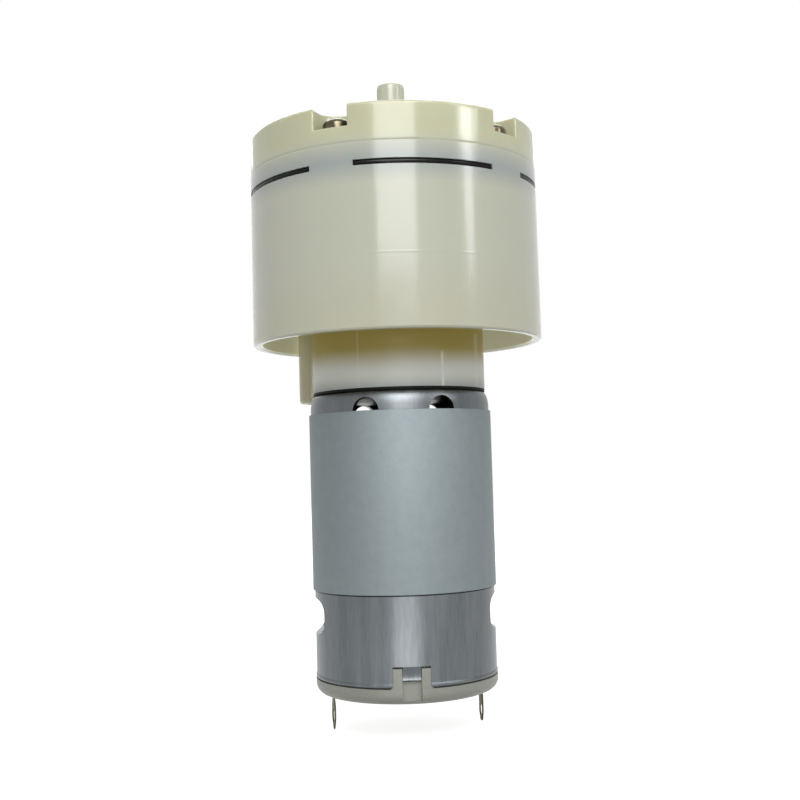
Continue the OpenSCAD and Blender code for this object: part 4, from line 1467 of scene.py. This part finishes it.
@dataclass
class MotorShell:
    """The outside of the motor: can, ring, end cap, terminals and seal."""

    ring: SteelRing = field(default_factory=SteelRing)
    terminals: tuple[Terminal, ...] = (
        Terminal(Side.LEFT, 10.0, 0.35, -42.6, 1.25), Terminal(Side.RIGHT, 6.0, 0.69, -43.0, 1.05))

    def build(self) -> None:
        """Dresses the nodes that stay, rolls the steel ring and stamps the terminals."""
        dress(Finishes.can, "motor_can")
        dress(Finishes.cap, "end_cap")
        dress(Finishes.rubber, "motor_seal")
        dress(Finishes.bearing, "front_bearing", "rear_bearing")
        dress(Finishes.magnet, "magnet_left", "magnet_right")
        dress(Finishes.spring, "magnet_clips")
        self.ring.build()
        for terminal in self.terminals:
            terminal.build(Finishes.terminal)


@dataclass
class BrushGear:
    """Brushes, their boxes and their springs, on both sides."""

    springs: tuple[BrushSpring, ...] = (BrushSpring(Side.LEFT), BrushSpring(Side.RIGHT))

    def build(self) -> None:
        """Dresses the brushes and boxes and winds the springs."""
        dress(Finishes.holder, "brush_holder_left", "brush_holder_right")
        dress(Finishes.carbon, "brush_left", "brush_right")
        for spring in self.springs:
            spring.build()


@dataclass
class Rotor:
    """The turning part of the motor."""

    coils: CoilSet = field(default_factory=CoilSet)

    def build(self) -> None:
        """Dresses the shaft, core and commutator and winds the coils."""
        dress(Finishes.shaft, "motor_shaft")
        dress(Finishes.core, "armature_core")
        dress(Finishes.bars, "commutator")
        dress(Finishes.resin, "commutator_core")
        dress(Finishes.fibre, "shaft_washers")
        self.coils.build()


@dataclass
class SoftBox:
    """A soft lamp: a lit rectangle that points at the shaft. Its distance and sizes are in metres."""

    name: str
    azimuth: float
    elevation: float
    distance: float
    wide: float
    tall: float
    power: float
    diffuse: bool = True
    aim: float = 20.0
    spread: float = 180.0

    def build(self) -> None:
        """Adds the lamp, at an azimuth from the front and an elevation, aimed at the shaft."""
        lamp = bpy.data.lights.new(self.name, "AREA")
        lamp.shape = "RECTANGLE"
        lamp.size, lamp.size_y, lamp.energy = self.wide, self.tall, self.power
        lamp.spread = math.radians(self.spread)
        holder = new_object(self.name, lamp)
        up = math.radians(self.elevation)
        flat = around(math.radians(self.azimuth), self.distance * math.cos(up))
        place = Vector((*flat, self.distance * math.sin(up)))
        holder.location = place + Vector((0, 0, self.aim * MM))
        holder.rotation_euler = (-place).to_track_quat("-Z", "Y").to_euler()
        holder.visible_diffuse = self.diffuse
        holder.visible_camera = False
        LOG.info("lamp %s of %.1f W", self.name, self.power)


@dataclass
class Studio:
    """Pale floor, pale world, soft lamps and the camera at the photograph's place."""

    floor_height: float = -45.4
    reach: float = 6000.0
    floor_grey: float = 0.6
    floor_lift: float = 0.84
    ambient: float = 0.29
    place: tuple[float, float, float] = (0.93, -238.6, 6.0)
    lens: float = 52.4655
    sensor: float = 36.0
    clip: Point = (0.01, 50.0)
    pitch: float = 3.43
    yaw: float = -0.19
    roll: float = 1.68
    boxes: tuple[SoftBox, ...] = (
        SoftBox("key_softbox", 7, 44, 1.1, 0.8, 0.6, 6.6),
        SoftBox("fill_softbox", 16, 10, 1.2, 0.8, 0.9, 1.2),
        SoftBox("back_softbox", 186, 36, 1.2, 0.9, 0.8, 4.6),
        SoftBox("front_strip", 2.2, 31, 0.9, 0.485, 0.634, 7.0, diffuse=False),
        SoftBox("right_strip", 60.0, 31, 0.9, 0.12, 0.634, 1.8, diffuse=False),
        SoftBox("low_strip", 2.0, 0.5, 0.7, 0.24, 0.11, 0.7, diffuse=False),
        SoftBox("floor_card", -1.0, 0.0, 0.08, 0.05, 0.014, 0.0011, diffuse=False, aim=-37.5, spread=52.0),
        SoftBox("window", 61.0, 19.7, 0.9, 0.26, 0.035, 0.42, diffuse=False))

    def build(self) -> None:
        """Builds the whole studio."""
        self.world()
        self.floor()
        self.camera()
        for box in self.boxes:
            box.build()

    def seen(self, tree: Tree) -> Node:
        """Adds a mask of the rays that the eye follows.

        Args:
            tree: The node tree of the world or the floor.

        Returns:
            1 for camera, glossy and transmission rays, and 0 for the rest.
        """
        path = add_node(tree, "ShaderNodeLightPath").outputs
        first = add_node(tree, MATH, {0: path["Is Camera Ray"], 1: path["Is Glossy Ray"]}, operation="MAXIMUM")
        return add_node(tree, MATH, {0: first, 1: path["Is Transmission Ray"]}, operation="MAXIMUM")

    def world(self) -> None:
        """Makes a world that looks white and lights softly."""
        world = bpy.data.worlds.new("pale_studio")
        bpy.context.scene.world = world
        tree = cleared(world)
        strength = add_node(tree, RANGE, {"Value": self.seen(tree), "To Min": self.ambient, "To Max": 1.0})
        glow = add_node(tree, "ShaderNodeBackground", {"Color": (1, 1, 1, 1), "Strength": strength})
        add_node(tree, "ShaderNodeOutputWorld", {"Surface": glow})

    def floor(self) -> None:
        """Lays a pale floor that looks white and keeps the shadow."""
        shape = bmesh.new()
        bmesh.ops.create_grid(shape, x_segments=8, y_segments=8, size=self.reach * MM / 2)
        bmesh.ops.translate(shape, verts=shape.verts, vec=(0, 0, self.floor_height * MM))
        mesh = plain_mesh("floor", shape)
        material = bpy.data.materials.new("pale_studio_floor")
        tree = cleared(material)
        matte = add_node(tree, "ShaderNodeBsdfDiffuse", {"Color": (*[self.floor_grey] * 3, 1)})
        lift = add_node(tree, MATH, {0: self.seen(tree), 1: self.floor_lift}, operation="MULTIPLY")
        glow = add_node(tree, "ShaderNodeEmission", {"Color": (1, 1, 1, 1), "Strength": lift})
        total = add_node(tree, "ShaderNodeAddShader", {0: matte, 1: glow})
        add_node(tree, "ShaderNodeOutputMaterial", {"Surface": total})
        mesh.materials.append(material)
        new_object("floor", mesh)

    def camera(self) -> None:
        """Puts the camera where the photograph was taken from."""
        lens = bpy.data.cameras.new("camera")
        lens.sensor_width, lens.lens = self.sensor, self.lens
        lens.clip_start, lens.clip_end = self.clip
        camera = new_object("camera", lens)
        pitch, yaw, roll = (math.radians(a) for a in (self.pitch, self.yaw, self.roll))
        across = Vector((math.cos(yaw), -math.sin(yaw), 0))
        ahead = Vector((math.sin(yaw), math.cos(yaw), 0))
        forward = ahead * math.cos(pitch) + Vector((0, 0, math.sin(pitch)))
        over = -ahead * math.sin(pitch) + Vector((0, 0, math.cos(pitch)))
        right = across * math.cos(roll) - over * math.sin(roll)
        up = across * math.sin(roll) + over * math.cos(roll)
        turn = Matrix((right, up, -forward)).transposed().to_4x4()
        camera.matrix_world = Matrix.Translation(Vector(self.place) * MM) @ turn
        bpy.context.scene.camera = camera


def main() -> None:
    """Builds the studio and every sub-assembly in order."""
    logging.basicConfig(level=logging.INFO, format="%(name)s: %(message)s", stream=sys.stdout)
    bpy.context.scene.view_settings.view_transform = "Standard"
    Studio().build()
    for name, stage in (("motor shell", MotorShell()), ("brush gear", BrushGear()), ("rotor", Rotor()),
                        ("works", Works()), ("pump head", PumpHead())):
        LOG.info("building the %s", name)
        stage.build()


if __name__ == "__main__":
    main()
